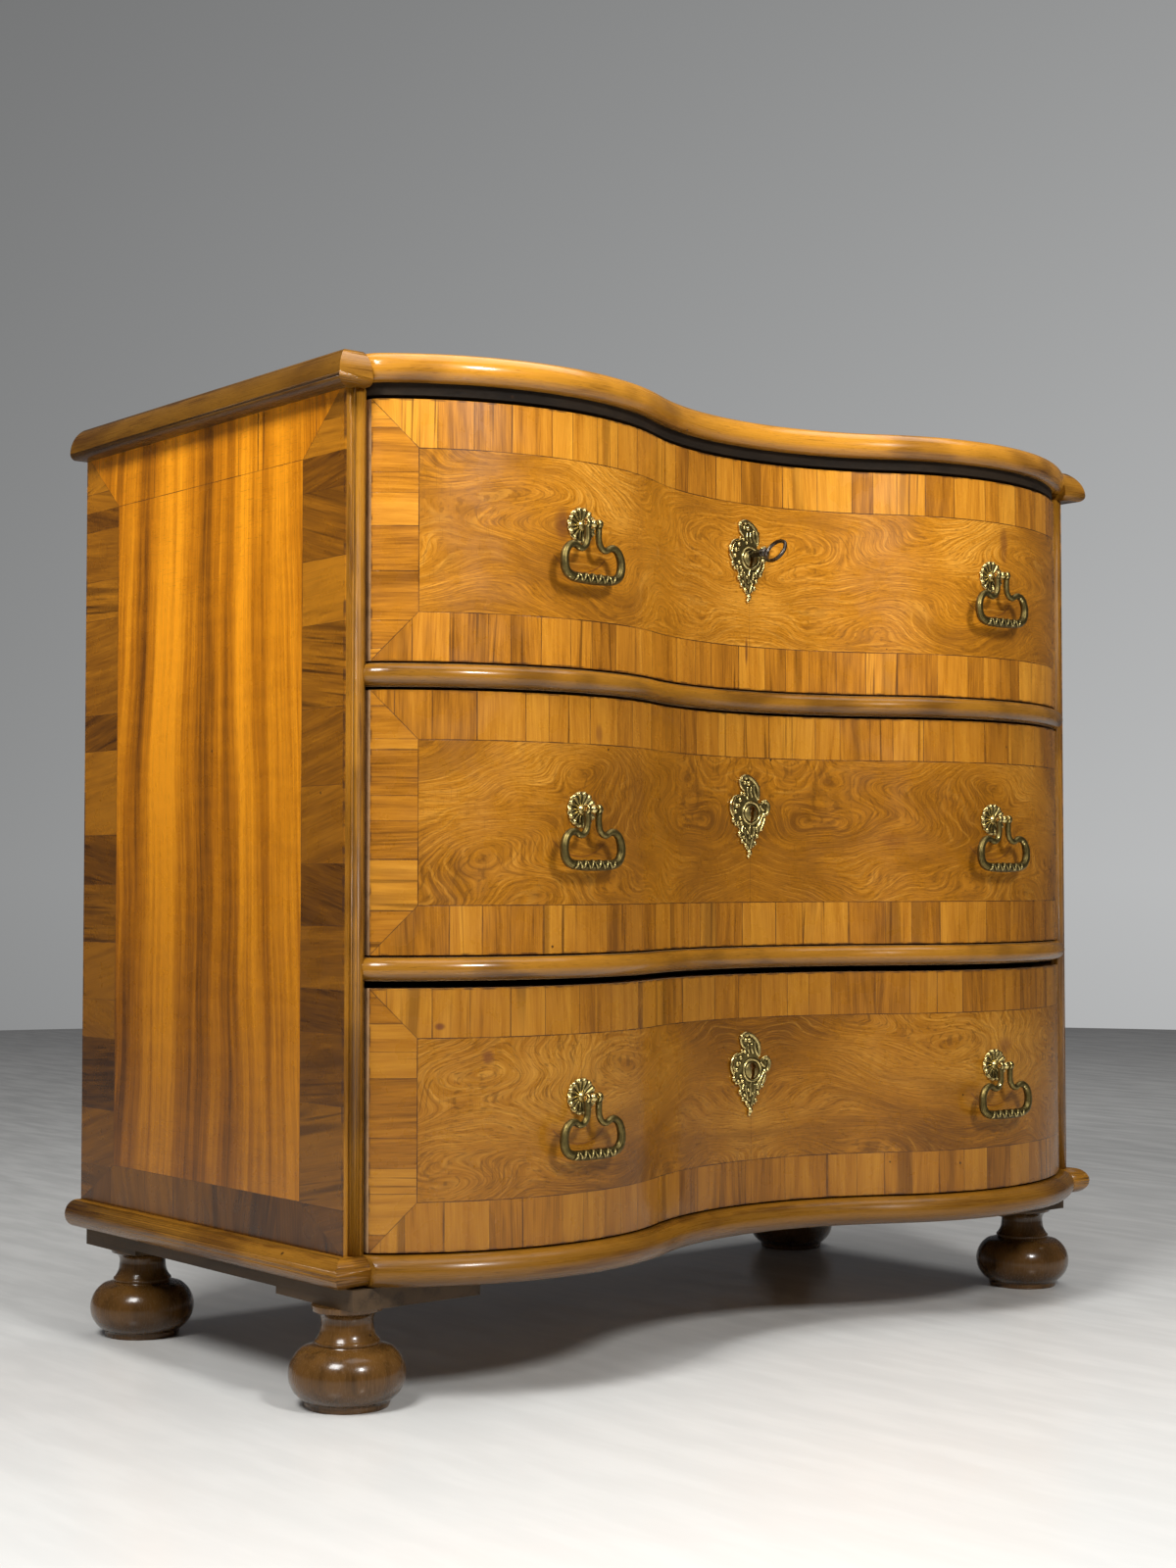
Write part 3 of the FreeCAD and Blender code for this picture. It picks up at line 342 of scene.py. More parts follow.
class Flow:
    """A number or colour that varies over a surface."""

    def __init__(self, tree, socket):
        self.tree = tree
        self.socket = socket

    def sum(self, operation, *others):
        node = self.tree.nodes.new("ShaderNodeMath")
        node.operation = operation
        for socket, value in zip(node.inputs, (self,) + others):
            plug(self.tree, socket, value)
        return Flow(self.tree, node.outputs[0])

    def __add__(self, other):
        return self.sum("ADD", other)

    def __sub__(self, other):
        return self.sum("SUBTRACT", other)

    def __mul__(self, other):
        return self.sum("MULTIPLY", other)

    def __truediv__(self, other):
        return self.sum("DIVIDE", other)

    def below(self, other):
        return self.sum("LESS_THAN", other)

    def above(self, other):
        return self.sum("GREATER_THAN", other)

    def least(self, other):
        return self.sum("MINIMUM", other)

    def most(self, other):
        return self.sum("MAXIMUM", other)

    def size(self):
        return self.sum("ABSOLUTE")

    def floor(self):
        return self.sum("FLOOR")

    def wave(self):
        return self.sum("SINE")

    def between(self, low, high, start=0.0, end=1.0):
        """Rises smoothly from start to end while this goes from low to high."""
        node = self.tree.nodes.new("ShaderNodeMapRange")
        node.interpolation_type = "SMOOTHSTEP"
        plug(self.tree, node.inputs[0], self)
        for index, value in enumerate((low, high, start, end), start=1):
            node.inputs[index].default_value = value
        return Flow(self.tree, node.outputs[0])


class Finish:
    """A material in the making."""

    def __init__(self, name):
        self.material = bpy.data.materials.new(name)
        self.material.use_nodes = True
        self.tree = self.material.node_tree
        self.shader = self.tree.nodes["Principled BSDF"]

    def new(self, kind, **settings):
        node = self.tree.nodes.new(kind)
        for name, value in settings.items():
            setattr(node, name, value)
        return node

    def places(self, attribute=None):
        """The three coordinates of the piece's own frame, or of an attribute."""
        if attribute:
            source = self.new("ShaderNodeAttribute", attribute_name=attribute).outputs["Vector"]
        else:
            source = self.new("ShaderNodeTexCoord").outputs["Object"]
        split = self.new("ShaderNodeSeparateXYZ")
        self.tree.links.new(source, split.inputs[0])
        return [Flow(self.tree, socket) for socket in split.outputs]

    def facing(self, axis):
        """How far the surface faces along an axis."""
        split = self.new("ShaderNodeSeparateXYZ")
        self.tree.links.new(self.new("ShaderNodeNewGeometry").outputs["Normal"], split.inputs[0])
        return Flow(self.tree, split.outputs[axis])

    def edges(self):
        return Flow(self.tree, self.new("ShaderNodeNewGeometry").outputs["Pointiness"])

    def vector(self, x, y, z):
        node = self.new("ShaderNodeCombineXYZ")
        for socket, value in zip(node.inputs, (x, y, z)):
            plug(self.tree, socket, value)
        return Flow(self.tree, node.outputs[0])

    def noise(self, x, y, z, detail=2.0, roughness=0.5):
        node = self.new("ShaderNodeTexNoise")
        plug(self.tree, node.inputs["Vector"], self.vector(x, y, z))
        node.inputs["Scale"].default_value = 1.0
        node.inputs["Detail"].default_value = detail
        node.inputs["Roughness"].default_value = roughness
        return Flow(self.tree, node.outputs[0])

    def chance(self, flow):
        """One random number for each value of the flow."""
        node = self.new("ShaderNodeTexWhiteNoise", noise_dimensions="1D")
        plug(self.tree, node.inputs["W"], flow)
        return Flow(self.tree, node.outputs[0])

    def spots(self, x, y, z):
        """Distance to the nearest of scattered points, and its random number."""
        node = self.new("ShaderNodeTexVoronoi")
        plug(self.tree, node.inputs["Vector"], self.vector(x, y, z))
        node.inputs["Scale"].default_value = 1.0
        split = self.new("ShaderNodeSeparateXYZ")
        self.tree.links.new(node.outputs["Color"], split.inputs[0])
        return Flow(self.tree, node.outputs["Distance"]), Flow(self.tree, split.outputs[0])

    def tint(self, flow, *stops):
        """Colours along a flow, as (place, colour) stops."""
        node = self.new("ShaderNodeValToRGB")
        ramp = node.color_ramp
        for place, _ in stops[1:-1]:
            ramp.elements.new(place)
        ramp.elements[0].position = stops[0][0]
        ramp.elements[-1].position = stops[-1][0]
        for element, (_, colour) in zip(ramp.elements, stops):
            element.color = (*colour, 1)
        plug(self.tree, node.inputs[0], flow)
        return Flow(self.tree, node.outputs[0])

    def mix(self, share, first, second, blend="MIX"):
        node = self.new("ShaderNodeMix", data_type="RGBA", blend_type=blend)
        plug(self.tree, node.inputs[0], share)
        for index, colour in ((6, first), (7, second)):
            plug(self.tree, node.inputs[index], colour if isinstance(colour, Flow) else (*colour, 1))
        return Flow(self.tree, node.outputs[2])

    def bump(self, height, strength, distance):
        node = self.new("ShaderNodeBump")
        plug(self.tree, node.inputs["Height"], height)
        node.inputs["Strength"].default_value = strength
        node.inputs["Distance"].default_value = distance
        self.tree.links.new(node.outputs[0], self.shader.inputs["Normal"])

    def close(self, colour, roughness, **constants):
        """Puts the colour, roughness and constant settings on the shader."""
        plug(self.tree, self.shader.inputs["Base Color"], colour)
        plug(self.tree, self.shader.inputs["Roughness"], roughness)
        for name, value in constants.items():
            self.shader.inputs[name.replace("_", " ").title().replace("Ior", "IOR")].default_value = value
        return self.material


def shade(colour, amount):
    return tuple(channel * amount for channel in colour)


def worm_holes(f, colour, x, y, z, count, share):
    """Small dark worm holes in a share of the cells of a scatter."""
    distance, number = f.spots(x * count, y * count, z * count)
    hole = distance.below(0.035) * number.above(1 - share)
    colour = f.mix(hole * 0.85, colour, (0.03, 0.012, 0.004))
    return colour, hole


def wood(name, source, order, light, dark, streak=1.0, rough=0.3, coat=0.2):
    """Straight-grained old wood: order gives the coordinates along, across and through it."""
    f = Finish(name)
    xyz = f.places(source)
    along, across, through = (xyz[index] for index in order)
    broad = f.noise(along * 7, across * 70, through * 70, 3, 0.6)
    fine = f.noise(along * 18, across * 700, through * 700, 3, 0.6)
    pores = f.noise(along * 90, across * 2200, through * 2200, 1)
    colour = f.tint(broad * streak + fine * 0.35 - 0.17 * streak, (0.25, dark), (0.48, light),
                    (0.78, shade(light, 1.18)))
    colour = f.mix(pores.between(0.62, 0.72) * 0.5, colour, shade(dark, 0.45))
    blotch = f.noise(along * 9, across * 14, through * 14, 2)
    colour = f.mix(blotch.between(0.48, 0.66) * 0.55, colour, shade(dark, 0.8))
    # Painted shade: faces that point down are darkened, as if in their own shadow.
    painted_under_shade = f.facing(2).between(-0.9, -0.1, 0.55, 0.0)
    colour = f.mix(painted_under_shade, colour, shade(dark, 0.35))
    # Lighter patches on faces that point up: partly rubbed wear, partly painted light from above.
    wear_and_top_light = f.noise(along * 40, across * 90, through * 90).between(0.4, 0.6)
    wear_and_top_light = f.facing(2).between(0.45, 0.85) * wear_and_top_light
    colour = f.mix(wear_and_top_light * 0.4, colour, shade(light, 1.5))
    colour, hole = worm_holes(f, colour, xyz[0], xyz[1], xyz[2], 22, 0.3)
    f.bump(fine * 0.5 + broad * 0.5 - hole * 3.0, 0.12, MM)
    roughness = fine.between(0.3, 0.7, rough - 0.05, rough + 0.08)
    return f.close(colour, roughness, coat_weight=coat, coat_roughness=0.14, specular_ior_level=0.25)


def crossbands(f, look, run, rise, row):
    """Strips of veneer side by side, each with its own tone, and the joints between them."""
    dark = look["band_dark"]
    cell = run / look["strip"] + f.noise(run * 14, row, look["seed"], 1) * 2.2 + row * 1.7
    index = cell.floor()
    part = cell - index
    tone = f.chance(index + row * 0.13)
    wild = f.chance(index * 1.9 + row)
    skew = (f.chance(index * 0.7 + row * 2.1) - 0.5) * look["skew"]
    lean = run + rise * skew
    grain = f.noise(lean * 130, rise * 9, index * 3.3 + row, 3, 0.6)
    fibres = f.noise(lean * 900, rise * 30, index * 1.7 + row, 2, 0.6)
    lines = f.noise(lean * 260, rise * 6, index * 5.1 + row, 2).between(0.58, 0.72)
    smoke = f.noise(lean * 60, rise * 4, index * 2.3 + row, 1).between(0.55, 0.68)
    band = f.tint(tone * look["mixed"] + grain * 0.7 + fibres * 0.5 - 0.1 - look["mixed"] / 2,
                  (0.14, dark), (0.47, look["band"]), (0.80, look["band_light"]))
    band = f.mix(lines * wild.between(0.25, 0.8) * 0.75, band, shade(dark, 0.45))
    band = f.mix(smoke * wild.between(0.4, 0.7) * look["smoke"], band, shade(dark, 0.7))
    return band, part.least(part * -1 + 1).below(look["joint"] / look["strip"])


def figured_field(f, look, u, z):
    """Two matched leaves of figured walnut, their finest grain and the seam between them."""
    seed, light, dark = look["seed"], look["light"], look["dark"]
    matched = (u - look["seam"]).size()
    slow = f.noise(matched * 4.2 + seed, z * 9, seed * 1.7, 2, 0.42)
    eddy = f.noise(matched * 13, z * 22, seed * 3.1, 2)
    height = z * 60 + slow * 26 + eddy * 4
    rings = (height * 6.28).wave() * 0.5 + (height * 14.1).wave() * 0.25 + 0.5
    fine = f.noise(matched * 26 + eddy * 3, z * 620 + slow * 190, seed, 4, 0.66)
    fleck = f.noise(matched * 140, z * 900 + slow * 190, seed * 6.1, 2, 0.5)
    cloud = f.noise(matched * 5, z * 9, seed * 2.3, 3, 0.5)
    fade = f.noise(matched * 11, z * 12, seed * 4.7, 1).between(0.35, 0.65)
    pale = f.noise(matched * 20, z * 26 + slow * 6, seed * 5.3, 1).between(0.5, 0.66)
    smoky = f.noise(matched * 7, z * 20 + slow * 5, seed * 7.7, 2, 0.55)
    lines = (height * 6.28).wave().between(0.75, 1.0)
    grain = cloud * 0.95 + fine * 0.85 + rings * fade * 0.12 - 0.46
    field = f.tint(grain, (0.22, dark), (0.48, look["mid"]), (0.78, light))
    field = f.mix(lines * pale * 0.28, field, shade(light, 1.2))
    field = f.mix(lines * fade * 0.34, field, shade(dark, 0.8))
    field = f.mix(fleck.between(0.54, 0.66) * 0.5, field, shade(dark, 0.7))
    field = f.mix(smoky.between(0.52, 0.68) * 0.45, field, shade(dark, 1.1))
    return field, fine, matched.below(0.00022) * z.below(look["seam_top"])


def striped_field(f, look, y, z):
    """Upright stripes that bend a little, their finest grain and no seam."""
    seed = look["seed"]
    middle = (BACK + STILE_FRONT) / 2
    bend = f.noise(z * 2.6, y * 3, seed, 2) * 0.05 - 0.025
    across = y + bend + (y - middle) * (z - 0.5) * 0.30
    share = (across * -1 + middle) / (BACK - STILE_FRONT) + 0.5
    stripe = f.tint(share, *((place, (tone, tone, tone)) for place, tone in look["stripes"]))
    broad = f.noise(across * 34, z * 1.3, seed, 2, 0.55)
    narrow = f.noise(across * 120, z * 2.2, seed + 4, 2, 0.6)
    fine = f.noise(across * 700, z * 14, seed, 3, 0.6)
    ripple = f.noise(across * 22, z * 70, seed + 9, 2)
    grain = stripe * 0.46 + broad * 0.60 + narrow * 0.55 + fine * 0.34 + ripple * 0.12 - 0.54
    return f.tint(grain, (0.22, look["dark"]), (0.46, look["mid"]), (0.72, look["light"])), fine, 0.0


def marked(f, look, colour, u, z):
    """Stains, and the arcs that the bails have rubbed."""
    for place, size, strength in look["stains"]:
        reach = ((u - place[0]) / size[0]).sum("POWER", 2.0) + ((z - place[1]) / size[1]).sum("POWER", 2.0)
        rag = f.noise(u * 60, z * 25, look["seed"] + place[1], 3) * 0.9
        colour = f.mix((reach + rag).between(0.35, 1.25, strength, 0.0), colour, (0.10, 0.026, 0.012))
    for place, up in look["pulls"]:
        away = ((u - place) * (u - place) + (z - up) * (z - up)).sum("POWER", 0.5)
        arc = (away - 0.039).size().between(0.0002, 0.0011, 0.6, 0.0) * (z - up).below(-0.026)
        colour = f.mix(arc, colour, (0.12, 0.035, 0.01))
    return colour


def banded_veneer(name, look):
    """Veneer with a figured field and mitred crossbands whose grain runs across them."""
    f = Finish(name)
    _, y, z = f.places()
    front_band, back_band, low_band, high_band = look["bands"]
    low, high = look["levels"]
    seed = look["seed"]
    if look["face"]:
        u = f.places("along")[0]
        ends = (u.size() * -1 + FACE_RUN) / front_band
    else:
        u = y
        ends = ((y - STILE_FRONT) / front_band).least((y * -1 + BACK) / back_band)
    upper = (z * -1 + high) / high_band
    levels = ((z - low) / low_band).least(upper)
    edge = ends.least(levels)
    on_end = ends.below(levels)
    in_field = edge.above(1)

    run = u + (z - u) * on_end
    rise = z + (u - z) * on_end
    row = on_end * 7.3 + upper.below(1) * 3.1 + u.above(0) * on_end * 2.7 + seed
    band, strip_joint = crossbands(f, look, run, rise, row)
    field_kind = figured_field if look["face"] else striped_field
    field, fine, seam = field_kind(f, look, u, z)
    pores = f.noise(run * 80, rise * 1600, seed, 1)
    field = f.mix(pores.between(0.62, 0.74) * 0.35, field, shade(look["dark"], 0.5))
    if look["plain_top"]:
        in_field = in_field.most(upper.below(1) * upper.below(ends))
    colour = f.mix(in_field, band, field)
    # Painted light: the colour is multiplied darker towards the bottom and lighter towards the top, as the
    # lamps fall off with height.
    colour = f.mix(1.0, colour, z.between(low, high, *look["painted_light_by_height"]), "MULTIPLY")
    colour = marked(f, look, colour, u, z)

    # Joints: between strips, along the mitres, round the field and at the seam
    thin = look["joint"] / front_band
    joint = (strip_joint * 0.8).most((ends - levels).size().below(thin)) * edge.below(1)
    joint = joint.most((edge - 1).size().below(thin)).most(seam * 0.7)
    gap = f.noise(u * 35, z * 35, seed, 2).between(0.3, 0.6, 0.5, 0.95)
    colour = f.mix(joint * gap, colour, (0.045, 0.016, 0.006))
    rim = edge.below(0.035) * f.noise(u * 90, z * 90, seed, 2).between(0.4, 0.65)
    colour = f.mix(rim * 0.7, colour, (0.05, 0.02, 0.01))
    colour, hole = worm_holes(f, colour, u, 0.0, z, 30, 0.38)
    dents = f.noise(u * 45, z * 45, seed, 3)
    waves = f.noise(u * 16, z * 9, seed, 1)
    f.bump(dents * 0.25 + waves * 1.6 - joint * 0.6 - hole * 2.0 + fine * 0.15, 0.25, 0.6 * MM)
    roughness = dents.between(0.3, 0.7, 0.24, 0.36)
    return f.close(colour, roughness, coat_weight=0.22, coat_roughness=0.1, specular_ior_level=0.3)


def old_brass(name, bright, dull, low, high):
    """Cast brass, dark in its hollows and rubbed bright on its ridges."""
    f = Finish(name)
    x, y, z = f.places()
    rub = f.edges().between(low, high)
    cloud = f.noise(x * 260, y * 260, z * 260, 3, 0.6)
    share = rub * 0.9 + cloud * 0.5 - 0.3
    colour = f.tint(share, (0.12, shade(dull, 0.12)), (0.42, dull), (0.85, bright))
    f.bump(cloud, 0.3, 0.3 * MM)
    return f.close(colour, share.between(0.2, 0.9, 0.48, 0.2), metallic=1.0)


def plain_metal(name, colour, rough):
    """Iron or steel with rust-dark clouds."""
    f = Finish(name)
    x, y, z = f.places()
    cloud = f.noise(x * 220, y * 220, z * 220, 4, 0.6)
    tint = f.tint(cloud, (0.3, shade(colour, 0.3)), (0.55, colour), (0.8, shade(colour, 1.6)))
    f.bump(cloud, 0.3, 0.3 * MM)
    return f.close(tint, cloud.between(0.3, 0.7, rough + 0.15, rough), metallic=1.0)


# Settings

def colour_setting(name, description, default):
    return FloatVectorProperty(name=name, description=description, default=default, size=3,
                               subtype="COLOR", min=0.0, max=1.0)


class ChestColours(bpy.types.PropertyGroup):
    amber: colour_setting("Amber", "Light figure of the drawer fronts", (0.76, 0.345, 0.042))
    honey: colour_setting("Honey", "Middle tone of the drawer fronts", (0.49, 0.185, 0.009))
    brown: colour_setting("Brown", "Dark figure of the drawer fronts", (0.21, 0.075, 0.005))
    band: colour_setting("Crossband", "Middle tone of the crossbands", (0.47, 0.178, 0.012))
    band_dark: colour_setting("Crossband, dark", "Dark strips of the crossbands", (0.17, 0.055, 0.004))
    band_light: colour_setting("Crossband, light", "Light strips of the crossbands", (0.66, 0.285, 0.026))
    moulding: colour_setting("Mouldings", "Worn walnut of the mouldings", (0.48, 0.205, 0.018))
    moulding_dark: colour_setting("Mouldings, dark", "Grain of the mouldings", (0.13, 0.042, 0.005))
    foot: colour_setting("Feet", "Turned walnut", (0.105, 0.048, 0.011))
    softwood: colour_setting("Softwood", "Boards of carcass and drawers", (0.42, 0.25, 0.12))
    brass: colour_setting("Brass", "Rubbed ridges of the brass", (0.76, 0.60, 0.24))
    brass_dull: colour_setting("Brass, dull", "Hollows of the brass", (0.20, 0.15, 0.05))
    iron: colour_setting("Iron", "Locks and bolts", (0.12, 0.11, 0.10))
    steel: colour_setting("Key", "Dark steel of the key", (0.10, 0.085, 0.07))
    floor: colour_setting("Floor", "Painted floor", (0.82, 0.82, 0.80))
    wall: colour_setting("Wall", "Backdrop", (0.385, 0.39, 0.392))


class ChestSizes(bpy.types.PropertyGroup):
    rosette_radius: FloatProperty(name="Rosette radius", description="Half a rosette's width",
                                  default=0.0158, unit="LENGTH")
    rod_radius: FloatProperty(name="Bail rod", description="Radius of a bail's rod",
                              default=0.0030, unit="LENGTH")
    bail_width: FloatProperty(name="Bail width", description="Width over the loops",
                              default=0.070, unit="LENGTH")
    bail_drop: FloatProperty(name="Bail drop", description="From the pin to the bottom",
                             default=0.052, unit="LENGTH")
    flutes: IntProperty(name="Flutes", description="Flutes of a rosette", default=14, min=8)
    key_lean: FloatProperty(name="Key lean", description="How far the key is turned",
                            default=math.radians(30), subtype="ANGLE")


def sizes():
    return bpy.context.scene.chest_sizes


def colour(name):
    return tuple(getattr(bpy.context.scene.chest_colours, name))


# Operators

class CHEST_OT_stage(bpy.types.Operator):
    """Floor, backdrop, lamps and camera"""
    bl_idname = "chest.stage"
    bl_label = "Stage"

    def lamp(self, name, place, target, size, power, tone):
        light = bpy.data.lights.new(name, "AREA")
        light.shape = "RECTANGLE"
        light.size, light.size_y = size
        light.energy = power
        light.color = tone
        holder = bpy.data.objects.new(name, light)
        bpy.context.collection.objects.link(holder)
        holder.location = place
        holder.rotation_euler = (Vector(target) - Vector(place)).to_track_quat("-Z", "Y").to_euler()

    def floor(self):
        bpy.ops.object.select_all(action="DESELECT")
        bpy.ops.mesh.primitive_circle_add(vertices=96, radius=4.6, fill_type="NGON")
        floor = added("floor")
        f = Finish("painted_floor")
        x, y, z = f.places()
        cloud = f.noise(x * 1.3, y * 1.3, z, 3)
        scuffs = f.noise(x * 30, y * 6, z, 3, 0.6)
        paint_colour = colour("floor")
        tint = f.tint(cloud * 0.7 + scuffs * 0.3, (0.3, shade(paint_colour, 0.92)), (0.7, paint_colour))
        f.bump(scuffs, 0.05, MM)
        f.close(tint, scuffs.between(0.3, 0.7, 0.16, 0.26))
        floor.data.materials.append(f.material)

    def backdrop(self, scene):
        """A dim light all round, and a wall that only the camera sees."""
        world = bpy.data.worlds.new("studio")
        scene.world = world
        world.use_nodes = True
        tree = world.node_tree
        seen = tree.nodes.new("ShaderNodeLightPath")
        back = tree.nodes["Background"]
        back.inputs[0].default_value = (0.95, 0.95, 1.0, 1)
        back.inputs[1].default_value = 0.07
        shown = tree.nodes.new("ShaderNodeBackground")
        shown.inputs[0].default_value = (*colour("wall"), 1)
        split = tree.nodes.new("ShaderNodeSeparateXYZ")
        tree.links.new(tree.nodes.new("ShaderNodeTexCoord").outputs["Generated"], split.inputs[0])
        x, y, z = [Flow(tree, socket) for socket in split.outputs]
        # The wall is brighter to the right and darker towards its top, and nowhere black
        gain = ((x * 0.85 - y * 0.70 + 1) * (z.size() * -1.05 + 1)).most(0.45)
        tree.links.new(gain.socket, shown.inputs[1])
        either = tree.nodes.new("ShaderNodeMixShader")
        tree.links.new(seen.outputs["Is Camera Ray"], either.inputs[0])
        tree.links.new(back.outputs[0], either.inputs[1])
        tree.links.new(shown.outputs[0], either.inputs[2])
        tree.links.new(either.outputs[0], tree.nodes["World Output"].inputs[0])

    def camera(self, scene):
        camera = bpy.data.cameras.new("camera")
        camera.sensor_fit = "VERTICAL"
        camera.sensor_height = 36
        camera.lens = 53.5
        holder = bpy.data.objects.new("camera", camera)
        bpy.context.collection.objects.link(holder)
        holder.location = (-1.4894, -1.7388, 0.423)
        holder.rotation_euler = (math.radians(92.35), 0, math.radians(-39.63))
        scene.camera = holder

    def execute(self, context):
        self.floor()
        self.backdrop(context.scene)
        middle = (0, 0, 0.45)
        tone = (1, 0.993, 0.978)
        self.lamp("lamp_key", (-0.45, -2.2, 1.7), middle, (0.34, 0.4), 37, tone)
        self.lamp("lamp_left", (-1.9, -0.8, 2.2), middle, (0.8, 0.8), 60, tone)
        self.lamp("lamp_above", (0.5, -0.1, 3.6), (0.5, 0.6, 0), (3.0, 3.0), 62, tone)
        self.camera(context.scene)
        context.scene.view_settings.view_transform = "Standard"
        return {"FINISHED"}


class CHEST_OT_boards(bpy.types.Operator):
    """Softwood boards of the carcass and the drawers"""
    bl_idname = "chest.boards"
    bl_label = "Boards"

    def execute(self, context):
        pale = colour("softwood")
        dark = shade(pale, 0.55)
        flat = {"streak": 1.0, "rough": 0.55, "coat": 0.0}
        across = wood("softwood_across", None, (0, 1, 2), pale, dark, **flat)
        deep = wood("softwood_deep", None, (1, 0, 2), pale, dark, **flat)
        upright = wood("softwood_upright", None, (2, 0, 1), shade(pale, 0.8), shade(dark, 0.8), **flat)
        old = wood("old_board", None, (1, 0, 2), shade(pale, 0.16), shade(dark, 0.10), **flat)
        paint(upright, "side_panel_left", "side_panel_right", "back_boards")
        paint(across, "bottom_board", "upper_rail", "lower_rail")
        paint(deep, "drawer_runners")
        paint(old, "foot_blocks", "side_battens")
        # Painted shade: the top rail, in shadow under the top moulding, is given nearly black wood.
        painted_shade_rail = wood("top_rail", None, (0, 1, 2), shade(pale, 0.05), shade(dark, 0.03),
                     rough=0.8, coat=0.0)
        paint(painted_shade_rail, "top_rail")
        top = wood("top_veneer", None, (0, 1, 2), colour("honey"), colour("brown"))
        paint(top, "top_board")
        for name in DRAWERS:
            paint(across, f"{name}_drawer_front", f"{name}_drawer_back", f"{name}_drawer_bottom")
            paint(deep, f"{name}_drawer_sides")
        return {"FINISHED"}


class CHEST_OT_sides(bpy.types.Operator):
    """Veneered sides"""
    bl_idname = "chest.sides"
    bl_label = "Sides"

    def execute(self, context):
        look = {
            "face": False, "bands": (0.063, 0.063, 0.037, 0.056), "levels": (BASE_TOP, TOP_UNDER),
            "strip": 0.055, "skew": 0.6, "joint": 0.00035, "smoke": 0.6, "mixed": 0.5,
            # The height factors paint light: the side is darkened low down and lightened high up.
            "plain_top": True, "painted_light_by_height": (0.55, 1.35), "pulls": (),
            "stripes": ((0.14, 0.45), (0.21, 0.25), (0.28, 0.6), (0.37, 0.9), (0.44, 0.35), (0.48, 0.05),
                        (0.52, 0.5), (0.57, 0.3), (0.66, 0.95), (0.72, 0.5), (0.78, 0.85), (0.86, 0.5)),
            "light": (0.78, 0.285, 0.008), "mid": (0.42, 0.136, 0.002), "dark": (0.12, 0.036, 0.001),
            "band": (0.20, 0.070, 0.003), "band_dark": (0.065, 0.021, 0.002),
            "band_light": (0.36, 0.135, 0.006), "stains": (),
        }
        for (side, _), seed in zip(SIDES, (2.4, 5.9)):
            paint(banded_veneer(f"side_veneer_{side}", {**look, "seed": seed}), f"side_veneer_{side}")
        return {"FINISHED"}


class CHEST_OT_mouldings(bpy.types.Operator):
    """Mouldings, rail beads and stiles"""
    bl_idname = "chest.mouldings"
    bl_label = "Mouldings"

    def execute(self, context):
        light, dark = colour("moulding"), colour("moulding_dark")
        curved = wood("moulding_front", "along", (0, 1, 2), shade(light, 1.1), shade(dark, 0.8),
                      1.3, 0.24, 0.5)
        low = wood("moulding_base", "along", (0, 1, 2), shade(light, 0.36), shade(dark, 0.5), rough=0.28)
        bead = wood("rail_bead", "along", (0, 1, 2), shade(light, 0.56), shade(dark, 0.5), 1.5, 0.2, 0.45)
        deep = wood("moulding_top_side", None, (1, 0, 2), shade(light, 0.34), shade(dark, 0.45), coat=0.1)
        base = wood("moulding_base_side", None, (1, 0, 2), shade(light, 0.5), shade(dark, 0.7), coat=0.1)
        upright = wood("stile", None, (2, 0, 1), shade(light, 0.66), shade(dark, 0.6), rough=0.24)
        corner = wood("corner", None, (0, 1, 2), shade(light, 0.6), shade(dark, 0.6), rough=0.3)
        for node, material, follow in (
                ("top_moulding_front", curved, True), ("base_moulding_front", low, True),
                ("rail_beads", bead, True), ("stiles", upright, False),
                ("corner_returns", corner, False),
                ("top_moulding_left", deep, False), ("top_moulding_right", deep, False),
                ("base_moulding_left", base, False), ("base_moulding_right", base, False)):
            piece = dressed(node, node + "_worn")
            if follow:
                follow_face(piece)
            finished(piece, material, "carcass", "walnut_moulding", node)
        return {"FINISHED"}


